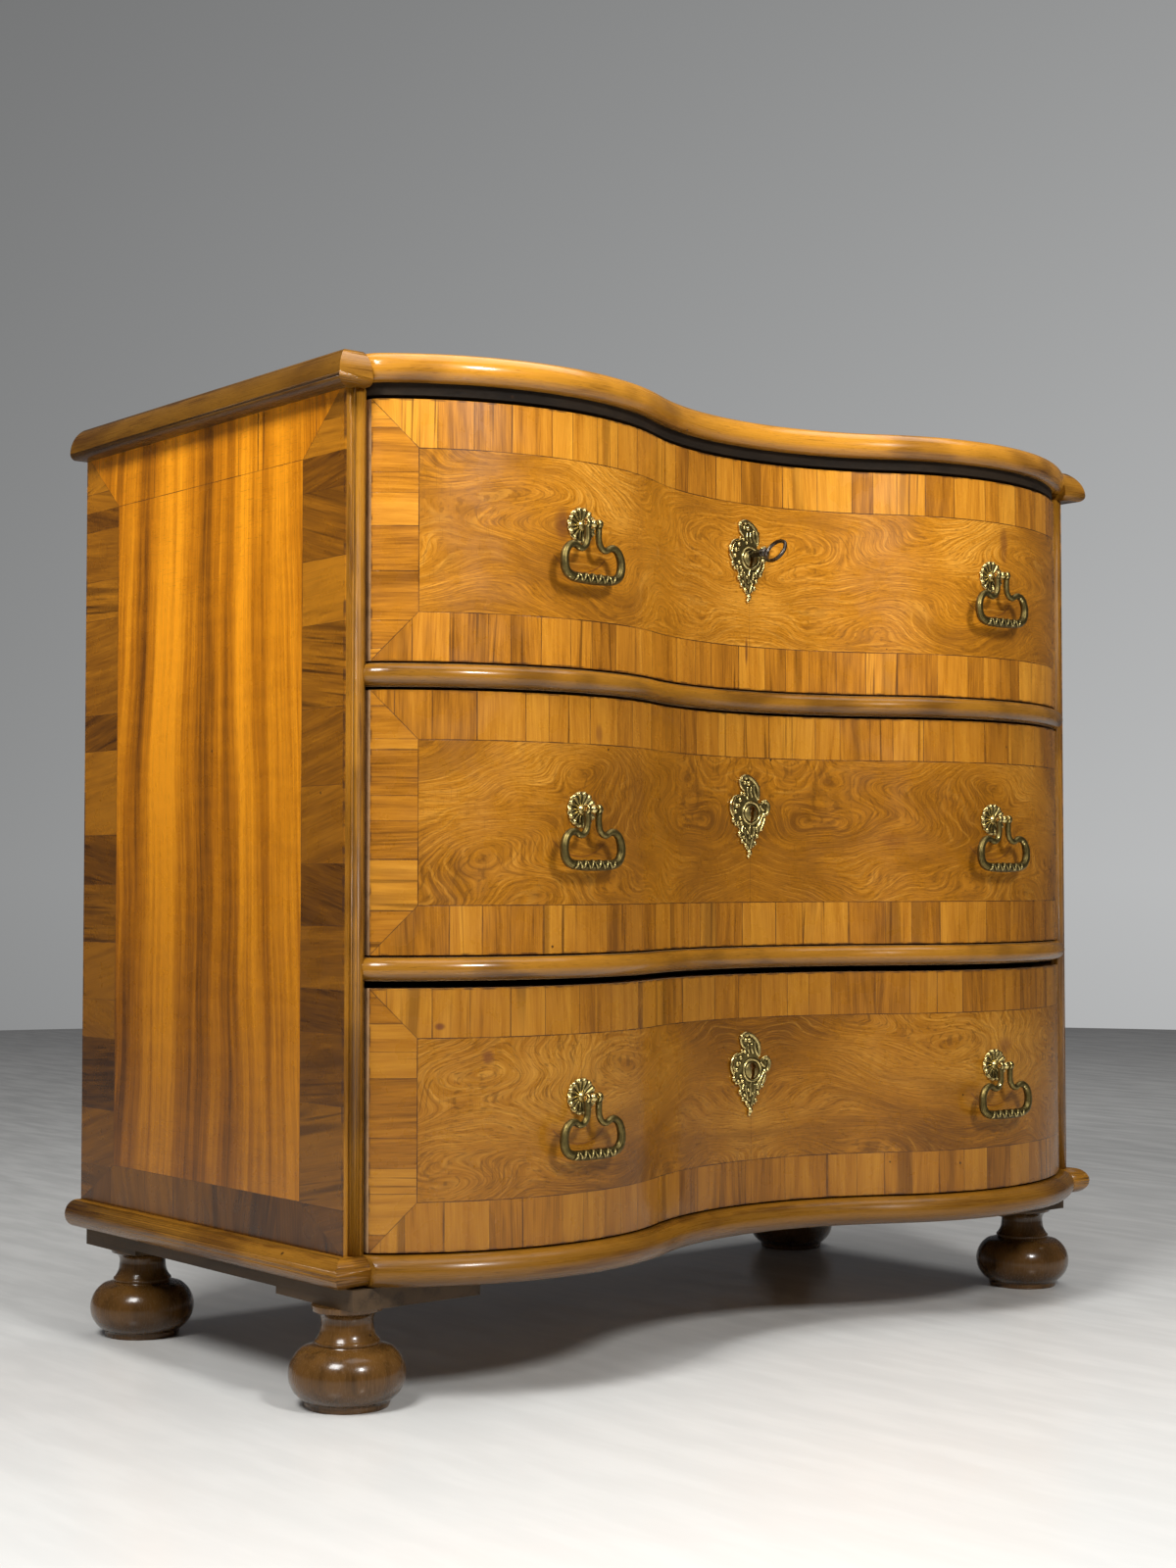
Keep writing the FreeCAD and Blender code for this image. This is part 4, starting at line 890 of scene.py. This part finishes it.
class CHEST_OT_feet(bpy.types.Operator):
    """Turned ball feet"""
    bl_idname = "chest.feet"
    bl_label = "Feet"

    RADIUS = 0.0475
    HEIGHT = 0.0814
    # Places up the outline: share of the radius, share of the height, and how far the stretch below bows
    STEPS = ((0.71, 0.0, 0), (0.725, 0.05, -0.006), (0.76, 0.075, 0.004), (0.76, 0.577, -0.242),
             (0.56, 0.603, 0), (0.55, 0.612, 0), (0.55, 0.655, -0.012), (0.525, 0.67, 0.003),
             (0.45, 0.80, 0.02), (0.445, 0.86, 0.004), (0.55, 0.935, 0.022), (0.60, 0.945, -0.003),
             (0.61, 1.0, -0.003))
    DEEP_BOW = 0.1

    def stretch(self, at, to, swell):
        """Points from one place to the next: a round bow, a shallow one or a straight line."""
        chord = math.hypot(to[0] - at[0], to[1] - at[1])
        deep = abs(swell) > self.DEEP_BOW
        count = 18 if deep else 5 if swell else 1
        across = (to[1] - at[1]) / chord
        climb = (to[0] - at[0]) / chord
        points = []
        for index in range(1, count + 1):
            part = index / count
            bow = self.RADIUS * swell * 4 * part * (1 - part)
            if deep:
                half = math.atan2(2 * self.RADIUS * abs(swell), chord) * 2
                turn = -half + 2 * half * part
                size = chord / 2 / math.sin(half)
                part = (math.sin(turn) / math.sin(half) + 1) / 2
                bow = size * math.cos(half) - size * math.cos(turn)
            points.append((at[0] + (to[0] - at[0]) * part - across * bow,
                           at[1] + (to[1] - at[1]) * part + climb * bow))
        return points

    def outline(self):
        at = (self.RADIUS * self.STEPS[0][0], 0.0)
        line = [(0, 0), (self.RADIUS * 0.5, 0), at]
        for share, up, swell in self.STEPS[1:]:
            to = (self.RADIUS * share, self.HEIGHT * up)
            line += self.stretch(at, to, swell)
            at = to
        return line + [(0, self.HEIGHT)]

    def execute(self, context):
        material = wood("turned_walnut", None, (2, 0, 1), colour("foot"), shade(colour("foot"), 0.35),
                        rough=0.22, coat=0.35)
        line = self.outline()
        for node in ("foot_front_left", "foot_front_right", "foot_back_left", "foot_back_right"):
            low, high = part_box(node)
            x, y = (low[0] + high[0]) / 2, (low[1] + high[1]) / 2
            outline = [(x + across, y, up) for across, up in line]
            piece = turned(node + "_turned", outline, (x, y, 0), steps=64)
            smoothed(piece, 40)
            finished(piece, material, "carcass", "turned_walnut", node)
        return {"FINISHED"}


class CHEST_OT_fronts(bpy.types.Operator):
    """Veneered drawer fronts"""
    bl_idname = "chest.fronts"
    bl_label = "Drawer fronts"

    def veneer(self, name, low, high):
        """A thin skin with softened edges, spun along the arcs of the face."""
        thick, soft = 0.0012, 0.0004
        outline = [(-thick, low), (-soft, low), (0, low + soft), (0, high - soft), (-soft, high),
                   (-thick, high), (-thick, low)]
        _, hollow_y, hollow, _, turn = ARCS["hollow"]
        start = hollow_y + hollow
        piece = drawn(f"{name}_front_veneer", [(0, start - out, z) for out, z in outline])
        cleaned(piece)
        whole(piece)
        bpy.ops.mesh.spin(steps=12, angle=turn, center=(0, hollow_y, 0), axis=(0, 0, 1))
        for arc, steps in (("bulge", 26), ("end", 8)):
            x, y, _, first, last = ARCS[arc]
            bpy.ops.mesh.spin(steps=steps, angle=last - first, center=(x, y, 0), axis=(0, 0, -1))
        bpy.ops.mesh.edge_face_add()
        done()
        cleaned(piece)
        modified(piece, "MIRROR", use_clip=True, merge_threshold=0.00005)
        return cleaned(piece)

    def execute(self, context):
        amber, honey, brown = colour("amber"), colour("honey"), colour("brown")
        band, band_dark, band_light = colour("band"), colour("band_dark"), colour("band_light")
        look = {
            "face": True, "bands": (0.039, 0.039, 0.040, 0.040), "strip": 0.030, "skew": 0.12,
            "joint": 0.0004, "smoke": 0.5, "mixed": 0.34, "seam": KEYHOLE_X,
            # The height factors paint a little light: each front is slightly darker low down and lighter
            # high up.
            "plain_top": False, "painted_light_by_height": (0.94, 1.03),
        }
        # Each drawer's seed, and a brightness factor that paints light: the lower drawers are darker, as
        # the lamps fall off.
        seeds_and_painted_light = {"bottom": (1.2, 0.60), "middle": (4.1, 0.78), "top": (7.7, 1.08)}
        stains = {
            "top": (((-0.290, 0.718), (0.013, 0.020), 0.6), ((0.292, 0.752), (0.009, 0.026), 0.6),
                    ((0.0, 0.635), (0.0025, 0.02), 0.8)),
            "middle": (((-0.25, 0.545), (0.006, 0.012), 0.5), ((0.16, 0.46), (0.02, 0.012), 0.35)),
            "bottom": (((-0.40, 0.305), (0.006, 0.004), 0.8), ((-0.36, 0.28), (0.008, 0.008), 0.6),
                       ((0.29, 0.262), (0.015, 0.012), 0.5)),
        }
        runs = [along_face(*face_place(sign * PULL_X)[0].xy)[0] for _, sign in SIDES]
        for name in DRAWERS:
            low, high = FRONT_LEVELS[name]
            seed, tone = seeds_and_painted_light[name]
            piece = self.veneer(name, low, high)
            cutter = keyhole_cutter((KEYHOLE_X, STILE_FRONT + FACE_HOLLOW, low + KEYHOLE_UP))
            modified(piece, "BOOLEAN", operation="DIFFERENCE", object=cutter, solver="EXACT")
            dropped(cutter)
            smoothed(piece, 40)
            follow_face(piece)
            # Every colour of the front is scaled by the drawer's factor: painted light, darker for lower
            # drawers.
            material = banded_veneer(f"{name}_front", {
                **look, "levels": (low, high), "seed": seed, "stains": stains[name],
                "light": shade(amber, tone), "mid": shade(honey, tone * 0.94), "dark": shade(brown, tone),
                "band": shade(band, tone), "band_dark": shade(band_dark, tone),
                "band_light": shade(band_light, tone),
                "pulls": [(run, low + PULL_UP) for run in runs],
                "seam_top": low + KEYHOLE_UP - 0.04})
            finished(piece, material, f"{name}_drawer", "walnut_veneer", f"{name}_drawer_veneer")
        return {"FINISHED"}


class CHEST_OT_pulls(bpy.types.Operator):
    """Rosettes, posts, cross pins and nuts of the pulls"""
    bl_idname = "chest.pulls"
    bl_label = "Pull plates"

    def rosette(self):
        """A dished and fluted disc, facing -Y, with its back at the face."""
        radius, flutes = sizes().rosette_radius, sizes().flutes
        bpy.ops.object.select_all(action="DESELECT")
        bpy.ops.mesh.primitive_circle_add(vertices=flutes * 4, radius=radius * 0.97, fill_type="NGON",
                                          rotation=(math.pi / 2, 0, 0))
        disc = added("rosette")
        whole(disc, "FACE")
        bpy.ops.mesh.extrude_region_move(TRANSFORM_OT_translate={"value": (0, -1.3 * MM, 0)})
        for inward, out in ((0.8, 1.5), (1.4, 0.7), (3.0, -0.9), (4.0, -0.9), (2.4, 0.0)):
            bpy.ops.mesh.inset(thickness=inward * MM, depth=out * MM)
        done()
        for rest, move, wide in ((0, -0.55, 1.05), (2, 1.15, 0.93)):
            def on_flute(vertex):
                across = math.hypot(vertex.co.x, vertex.co.z)
                step = round(math.atan2(vertex.co.z, vertex.co.x) / (2 * math.pi) * flutes * 4)
                return across > radius * 0.25 and vertex.co.y < -0.5 * MM and step % 4 == rest
            editing(disc)
            pick(disc, on_flute)
            bpy.ops.transform.translate(value=(0, move * MM, 0))
            pick(disc, lambda vertex: on_flute(vertex) and
                 math.hypot(vertex.co.x, vertex.co.z) > radius * 0.85)
            bpy.ops.transform.resize(value=(wide, 1, wide), center_override=(0, 0, 0))
            done()
        modified(disc, "SUBSURF", levels=2, render_levels=2)
        return disc

    def post(self):
        """A waisted stem with a round head, drilled through by the cross pin."""
        reach = PIVOT_REACH / MM
        line = [(0, 1), (4.6, 1), (4.8, -2.2), (4.2, -3.6), (2.9, -5), (2.5, -7), (2.6, -9), (3.1, -11.5)]
        line += [(3.8 * math.sin(turn), -reach + 3.8 * math.cos(turn))
                 for turn in [math.radians(angle) for angle in range(50, 181, 10)]]
        outline = [(across * MM, out * MM, 0) for across, out in line]
        return turned("post", outline, (0, 0, 0), axis=(0, 1, 0), steps=28)

    def pin(self):
        bpy.ops.object.select_all(action="DESELECT")
        bpy.ops.mesh.primitive_cylinder_add(vertices=20, radius=1.7 * MM, depth=17.2 * MM,
                                            location=(0, -PIVOT_REACH, 0), rotation=(0, math.pi / 2, 0))
        pin = added("pin")
        return modified(pin, "BEVEL", width=0.5 * MM, segments=2)

    def nut(self):
        """Square nut on the end of the stud, inside the drawer."""
        nut = block("nut", (0, 26.3 * MM, 0), (12 * MM, 4 * MM, 12 * MM))
        modified(nut, "BEVEL", width=0.8 * MM, segments=2)
        line = [(0, 20), (2.4, 20), (2.4, 31.8), (1.8, 32.3), (0, 32.3)]
        stud = turned("stud", [(across * MM, out * MM, 0) for across, out in line], (0, 0, 0),
                      axis=(0, 1, 0), steps=20)
        return nut, stud

    def execute(self, context):
        brass = old_brass("old_brass", colour("brass"), colour("brass_dull"), 0.44, 0.55)
        parts = [self.rosette(), self.post(), self.pin(), *self.nut()]
        master = smoothed(joined("pull_plate", parts), 40)
        for name in DRAWERS:
            pair = [copied(master, f"{name}_plate_{side}", pull_place(name, sign)) for side, sign in SIDES]
            piece = joined(f"{name}_rosettes", pair)
            finished(piece, brass, f"{name}_drawer", "old_brass", f"{name}_pull_plates")
        dropped(master)
        return {"FINISHED"}


class CHEST_OT_bails(bpy.types.Operator):
    """Hanging bails with S-shaped legs and a leafy grip"""
    bl_idname = "chest.bails"
    bl_label = "Bails"

    def execute(self, context):
        bright, dull = shade(colour("brass"), 0.9), shade(colour("brass_dull"), 0.9)
        brass = old_brass("bail_brass", bright, dull, 0.47, 0.555)
        rod = sizes().rod_radius
        half, drop = sizes().bail_width / 2 - rod, sizes().bail_drop - rod
        eye = 6.6 * MM
        leg = [(eye / half, -0.02, 0.95), (0.19, -0.14, 0.95), (0.18, -0.30, 0.95), (0.29, -0.42, 0.92),
               (0.46, -0.46, 0.92), (0.62, -0.36, 1.0), (0.86, -0.40, 1.12), (1.01, -0.58, 1.22),
               (0.99, -0.82, 1.28), (0.80, -0.93, 1.34), (0.50, -0.945, 1.45), (0.22, -0.95, 1.5),
               (0.0, -0.95, 1.5)]
        points = [(across * half, up * drop, thick) for across, up, thick in leg]
        points += [(-across, up, thick) for across, up, thick in reversed(points[:-1])]
        bpy.ops.object.select_all(action="DESELECT")
        bpy.ops.curve.primitive_nurbs_path_add()
        path = bpy.context.object
        bpy.ops.object.transform_apply(location=True, rotation=True, scale=True)
        spline = path.data.splines[0]
        spline.points.add(len(points) - len(spline.points))
        for knot, (across, up, thick) in zip(spline.points, points):
            knot.co = (across, -PIVOT_REACH, up, 1)
            knot.radius = thick
        spline.order_u = 4
        spline.use_endpoint_u = True
        path.data.resolution_u = 12
        path.data.bevel_depth = rod
        path.data.bevel_resolution = 5
        path.data.use_fill_caps = True
        bpy.ops.object.convert(target="MESH")
        parts = [bpy.context.object]
        for sign in (-1, 1):
            line = [(4.2, 2.5), (4.2, 3.7), (4.8, 4.2), (7.8, 4.2), (8.4, 3.7), (8.4, 2.5)]
            line += [(8.4, 1.8), (4.2, 1.8), (4.2, 2.5)]
            outline = [(sign * across * MM, -PIVOT_REACH, out * MM) for across, out in line]
            parts.append(turned("eye", outline, (0, -PIVOT_REACH, 0), axis=(1, 0, 0), steps=28))
        for index in range(-5, 6):
            bpy.ops.object.select_all(action="DESELECT")
            lean = math.radians(32) * (1 if index % 2 else -1)
            bpy.ops.mesh.primitive_uv_sphere_add(
                segments=20, ring_count=12, radius=1,
                location=(index * 4.1 * MM, -PIVOT_REACH - 0.9 * MM, -drop * 0.95 + 0.6 * MM),
                rotation=(0, lean, 0), scale=(2.0 * MM, 4.6 * MM, (5.2 - 0.035 * index * index) * MM))
            parts.append(added("leaf"))
        master = joined("bail", parts)
        modified(master, "REMESH", mode="VOXEL", voxel_size=0.45 * MM)
        modified(master, "SMOOTH", factor=0.5, iterations=2)
        smoothed(master, 180)
        for name in DRAWERS:
            for side, sign in SIDES:
                node = f"{name}_bail_{side}"
                piece = copied(master, node + "_cast", pull_place(name, sign))
                finished(piece, brass, node, "old_brass", node)
        dropped(master)
        return {"FINISHED"}


class CHEST_OT_escutcheons(bpy.types.Operator):
    """Cast keyhole plates with scrolls and leaves"""
    bl_idname = "chest.escutcheons"
    bl_label = "Escutcheons"

    # Strokes as (across, up, radius) in millimetres from the keyhole
    STROKES = (
        ((8.5, 9.7, 1.6), (9.6, 16.5, 1.9), (7.0, 22.7, 2.0), (1.1, 28.4, 2.2), (-6.3, 31.0, 2.3),
         (-12.1, 29.0, 2.2), (-14.5, 25.6, 1.6)),
        ((-14.5, 26.0, 1.5), (-13.2, 21.0, 1.6), (-9.9, 17.6, 1.4)),
        ((-15.1, 12.5, 1.2), (-21.0, 12.4, 1.4), (-25.7, 7.4, 1.5), (-27.2, 2.0, 1.5),
         (-26.0, -4.0, 1.4), (-22.0, -7.5, 1.2)),
        ((13.0, 6.4, 1.4), (17.0, 8.5, 1.8), (21.0, 5.1, 2.1), (21.0, 0.6, 2.1), (19.0, -4.6, 1.8),
         (15.0, -5.6, 1.4)),
        ((10.8, 3.2, 1.2), (13.6, 0.4, 1.4), (15.8, -1.0, 1.2)),
        ((14.3, -5.7, 1.3), (11.5, -10.5, 1.9), (8.5, -15.0, 2.0), (6.5, -21.0, 1.2)),
        ((16.5, -7.1, 1.1), (15.4, -12.0, 1.7), (12.0, -18.4, 1.6)),
        ((4.0, 22.5, 0.9), (3.8, 16.0, 1.1), (5.8, 12.0, 1.0), (8.2, 9.0, 0.9)),
        ((0.4, 20.6, 0.8), (-0.4, 16.0, 1.0), (1.6, 11.6, 0.9)),
        ((-4.0, 20.0, 0.8), (-4.6, 15.6, 1.0), (-3.2, 11.6, 0.9)),
        ((-10.0, -14.5, 1.2), (-12.0, -19.0, 1.6), (-13.6, -23.5, 1.4)),
        ((4.0, -16.5, 1.1), (3.6, -22.0, 1.5), (1.2, -29.0, 1.3), (-1.0, -36.0, 1.0)),
        ((-8.0, -17.0, 1.0), (-7.6, -24.0, 1.4), (-5.6, -31.0, 1.2), (-3.6, -38.0, 1.0)),
        ((-1.0, -14.0, 1.0), (-2.4, -20.0, 1.4), (-2.2, -27.0, 1.0)),
    )
    # Lumps as (across, up, radius)
    LUMPS = (
        (-12.6, 27.6, 2.6), (-6.6, 29.5, 2.4), (-0.6, 28.6, 2.1), (-3.3, 24.1, 2.3), (-8.0, 24.6, 1.8),
        (7.0, 24.0, 1.7), (9.2, 20.6, 1.8), (9.0, 16.9, 1.7), (9.4, 13.2, 1.6), (8.4, 10.0, 1.5),
        (-12.9, 14.5, 1.8), (-8.8, 13.6, 1.5), (-4.8, 10.4, 1.4), (-14.3, 8.5, 1.9), (-18.8, 3.0, 2.1),
        (-20.0, -2.4, 1.9), (-14.3, -8.5, 1.9), (-15.6, 3.6, 1.4), (-23.4, -10.0, 2.7),
        (-17.6, -13.6, 2.4), (-20.6, -13.8, 1.8), (-12.4, -13.2, 1.8), (-15.4, -22.7, 2.5),
        (-12.0, -20.6, 2.1), (-12.0, -29.4, 2.0), (-9.6, -26.4, 1.7), (-7.4, -33.4, 2.0),
        (-2.6, -40.0, 3.0), (-3.8, -43.6, 1.8), (4.2, -31.4, 2.1), (1.6, -33.6, 1.6),
        (7.0, -24.6, 2.0), (12.0, -18.0, 2.2), (6.4, -17.6, 1.8), (17.6, 7.2, 2.2), (15.6, -5.0, 2.0),
        (-4.8, -21.6, 1.6), (-4.0, -30.7, 1.6), (0.4, -25.0, 1.3),
    )
    OUTLINE = (
        (-0.29, 0.355), (-0.20, 0.405), (-0.10, 0.41), (0.03, 0.375), (0.15, 0.305), (0.20, 0.16),
        (0.19, 0.09), (0.27, 0.08), (0.34, 0.11), (0.43, 0.05), (0.42, -0.03), (0.33, -0.08),
        (0.26, -0.22), (0.24, -0.30), (0.08, -0.42), (-0.02, -0.565), (-0.14, -0.51), (-0.21, -0.44),
        (-0.34, -0.34), (-0.34, -0.25), (-0.50, -0.18), (-0.49, -0.09), (-0.54, 0.01), (-0.50, 0.11),
        (-0.41, 0.16), (-0.28, 0.175), (-0.19, 0.225), (-0.26, 0.29),
    )

    def stroke(self, points):
        """A tapering tube through a few points, half sunk in the plate."""
        bpy.ops.object.select_all(action="DESELECT")
        bpy.ops.curve.primitive_nurbs_path_add()
        path = bpy.context.object
        spline = path.data.splines[0]
        if len(points) > len(spline.points):
            spline.points.add(len(points) - len(spline.points))
        count = len(spline.points)
        for index, knot in enumerate(spline.points):
            place = index / (count - 1) * (len(points) - 1)
            first = min(int(place), len(points) - 2)
            part = place - first
            across, up, thick = (a + (b - a) * part for a, b in zip(points[first], points[first + 1]))
            knot.co = (across * MM, -1.6 * MM, up * MM, 1)
            knot.radius = thick
        spline.order_u = 3
        spline.use_endpoint_u = True
        path.data.resolution_u = 8
        path.data.bevel_depth = MM
        path.data.bevel_resolution = 3
        path.data.use_fill_caps = True
        bpy.ops.object.convert(target="MESH")
        return bpy.context.object

    def plate(self):
        points = [(across * 44 * MM, 0, up * 72 * MM) for across, up in self.OUTLINE]
        plate = drawn("plate", points + points[:1])
        cleaned(plate)
        whole(plate)
        bpy.ops.mesh.edge_face_add()
        bpy.ops.mesh.extrude_region_move(TRANSFORM_OT_translate={"value": (0, -1.6 * MM, 0)})
        done()
        return cleaned(plate)

    def cabochon(self):
        """The swelling oval with its ring round the keyhole."""
        line = [(0, -3.6), (4.5, -3.4), (7.6, -2.4), (9.4, -1.4), (10.0, -2.6), (11.2, -3.0),
                (12.2, -2.2), (12.4, 0)]
        outline = [(across * MM, out * MM, 0) for across, out in line]
        oval = turned("cabochon", outline, (0, 0, 0), axis=(0, 1, 0), steps=40)
        whole(oval)
        bpy.ops.transform.resize(value=(0.96, 1, 0.90), center_override=(0, 0, 0))
        bpy.ops.transform.translate(value=(0, 0, -3.6 * MM))
        done()
        return oval

    def execute(self, context):
        brass = old_brass("escutcheon_brass", colour("brass"), colour("brass_dull"), 0.45, 0.54)
        parts = [self.plate(), self.cabochon()] + [self.stroke(points) for points in self.STROKES]
        for across, up, size in self.LUMPS:
            bpy.ops.object.select_all(action="DESELECT")
            bpy.ops.mesh.primitive_uv_sphere_add(segments=16, ring_count=10, radius=size * MM,
                                                 location=(across * MM, -1.8 * MM, up * MM),
                                                 scale=(1, 0.85, 1.1))
            parts.append(added("lump"))
        master = joined("escutcheon", parts)
        modified(master, "REMESH", mode="VOXEL", voxel_size=0.42 * MM)
        modified(master, "SMOOTH", factor=0.5, iterations=2)
        behind = block("behind", (0, 100.1 * MM, 0), (200 * MM, 200 * MM, 200 * MM))
        modified(master, "BOOLEAN", operation="DIFFERENCE", object=behind, solver="EXACT")
        dropped(behind)
        hole = keyhole_cutter((0, 0, 0))
        modified(master, "BOOLEAN", operation="DIFFERENCE", object=hole, solver="EXACT")
        dropped(hole)
        _, centre_y, radius, _, _ = ARCS["hollow"]
        for vertex in master.data.vertices:
            across = vertex.co.x + KEYHOLE_X
            vertex.co.x = across
            vertex.co.y += centre_y + math.sqrt(radius * radius - across * across)
        smoothed(master, 50)
        for name in DRAWERS:
            up = FRONT_LEVELS[name][0] + KEYHOLE_UP
            piece = copied(master, f"{name}_keyhole_plate", Matrix.Translation((0, 0, up)))
            finished(piece, brass, f"{name}_drawer", "old_brass", f"{name}_escutcheon")
        dropped(master)
        return {"FINISHED"}


class CHEST_OT_locks(bpy.types.Operator):
    """Iron locks and bolts, and the key"""
    bl_idname = "chest.locks"
    bl_label = "Locks and key"

    def key(self):
        """Built along -Y from the face, upright, then leant over."""
        line = [(0, 27.5), (2.4, 27.5), (3.0, 26.8), (3.0, -16), (3.7, -16.6), (3.7, -17.6), (3.1, -18.2),
                (3.2, -19.2), (4.4, -20.0), (4.5, -21.4), (3.6, -22.4), (3.0, -23.2), (0, -23.6)]
        outline = [(across * MM, out * MM, 0) for across, out in line]
        shank = turned("shank", outline, (0, 0, 0), axis=(0, 1, 0), steps=32)
        bpy.ops.object.select_all(action="DESELECT")
        middle = (0, -35.3 * MM, 0)
        bpy.ops.mesh.primitive_torus_add(major_radius=11.3 * MM, minor_radius=1.8 * MM,
                                         major_segments=56, minor_segments=16,
                                         location=middle, rotation=(0, math.pi / 2, 0))
        ring = added("ring")
        whole(ring)
        bpy.ops.transform.resize(value=(1, 1, 0.97), center_override=middle)
        done()
        bit = block("bit", (0, 16.5 * MM, -5.6 * MM), (2.6 * MM, 4.2 * MM, 7.8 * MM))
        editing(bit, "FACE")
        pick(bit, lambda face: face.normal.z < -0.9, "polygons")
        bpy.ops.mesh.inset(thickness=0.5 * MM, depth=0.2 * MM)
        done()
        modified(bit, "BEVEL", width=0.3 * MM, segments=2)
        return joined("key_steel", [shank, ring, bit])

    def execute(self, context):
        iron = plain_metal("lock_iron", colour("iron"), 0.4)
        for name in DRAWERS:
            paint(iron, f"{name}_lock", f"{name}_lock_bolt")
        steel = plain_metal("key_steel", colour("steel"), 0.25)
        piece = smoothed(self.key(), 40)
        up = FRONT_LEVELS["top"][0] + KEYHOLE_UP
        place = (Matrix.Translation((KEYHOLE_X, STILE_FRONT + FACE_HOLLOW, up))
                 @ Matrix.Rotation(sizes().key_lean, 4, "Y"))
        key = copied(piece, "key_worn", place)
        dropped(piece)
        finished(key, steel, "key", "key_iron", "key")
        return {"FINISHED"}


class CHEST_PT_panel(bpy.types.Panel):
    """Lists the steps that build the chest"""
    bl_idname = "CHEST_PT_panel"
    bl_label = "Serpentine chest"
    bl_space_type = "VIEW_3D"
    bl_region_type = "UI"
    bl_category = "Chest"

    def draw(self, context):
        for operator in OPERATORS:
            self.layout.operator(operator.bl_idname)
        for settings in (context.scene.chest_sizes, context.scene.chest_colours):
            for name in settings.__annotations__:
                self.layout.prop(settings, name)


OPERATORS = (CHEST_OT_stage, CHEST_OT_boards, CHEST_OT_sides, CHEST_OT_mouldings, CHEST_OT_feet,
             CHEST_OT_fronts, CHEST_OT_pulls, CHEST_OT_bails, CHEST_OT_escutcheons, CHEST_OT_locks)
CLASSES = (ChestColours, ChestSizes, *OPERATORS, CHEST_PT_panel)


def register():
    for kind in CLASSES:
        bpy.utils.register_class(kind)
    bpy.types.Scene.chest_colours = PointerProperty(type=ChestColours)
    bpy.types.Scene.chest_sizes = PointerProperty(type=ChestSizes)


def unregister():
    del bpy.types.Scene.chest_sizes
    del bpy.types.Scene.chest_colours
    for kind in reversed(CLASSES):
        bpy.utils.unregister_class(kind)


def main():
    register()
    for operator in OPERATORS:
        getattr(bpy.ops.chest, operator.bl_idname.split(".")[1])()


if __name__ == "__main__":
    main()
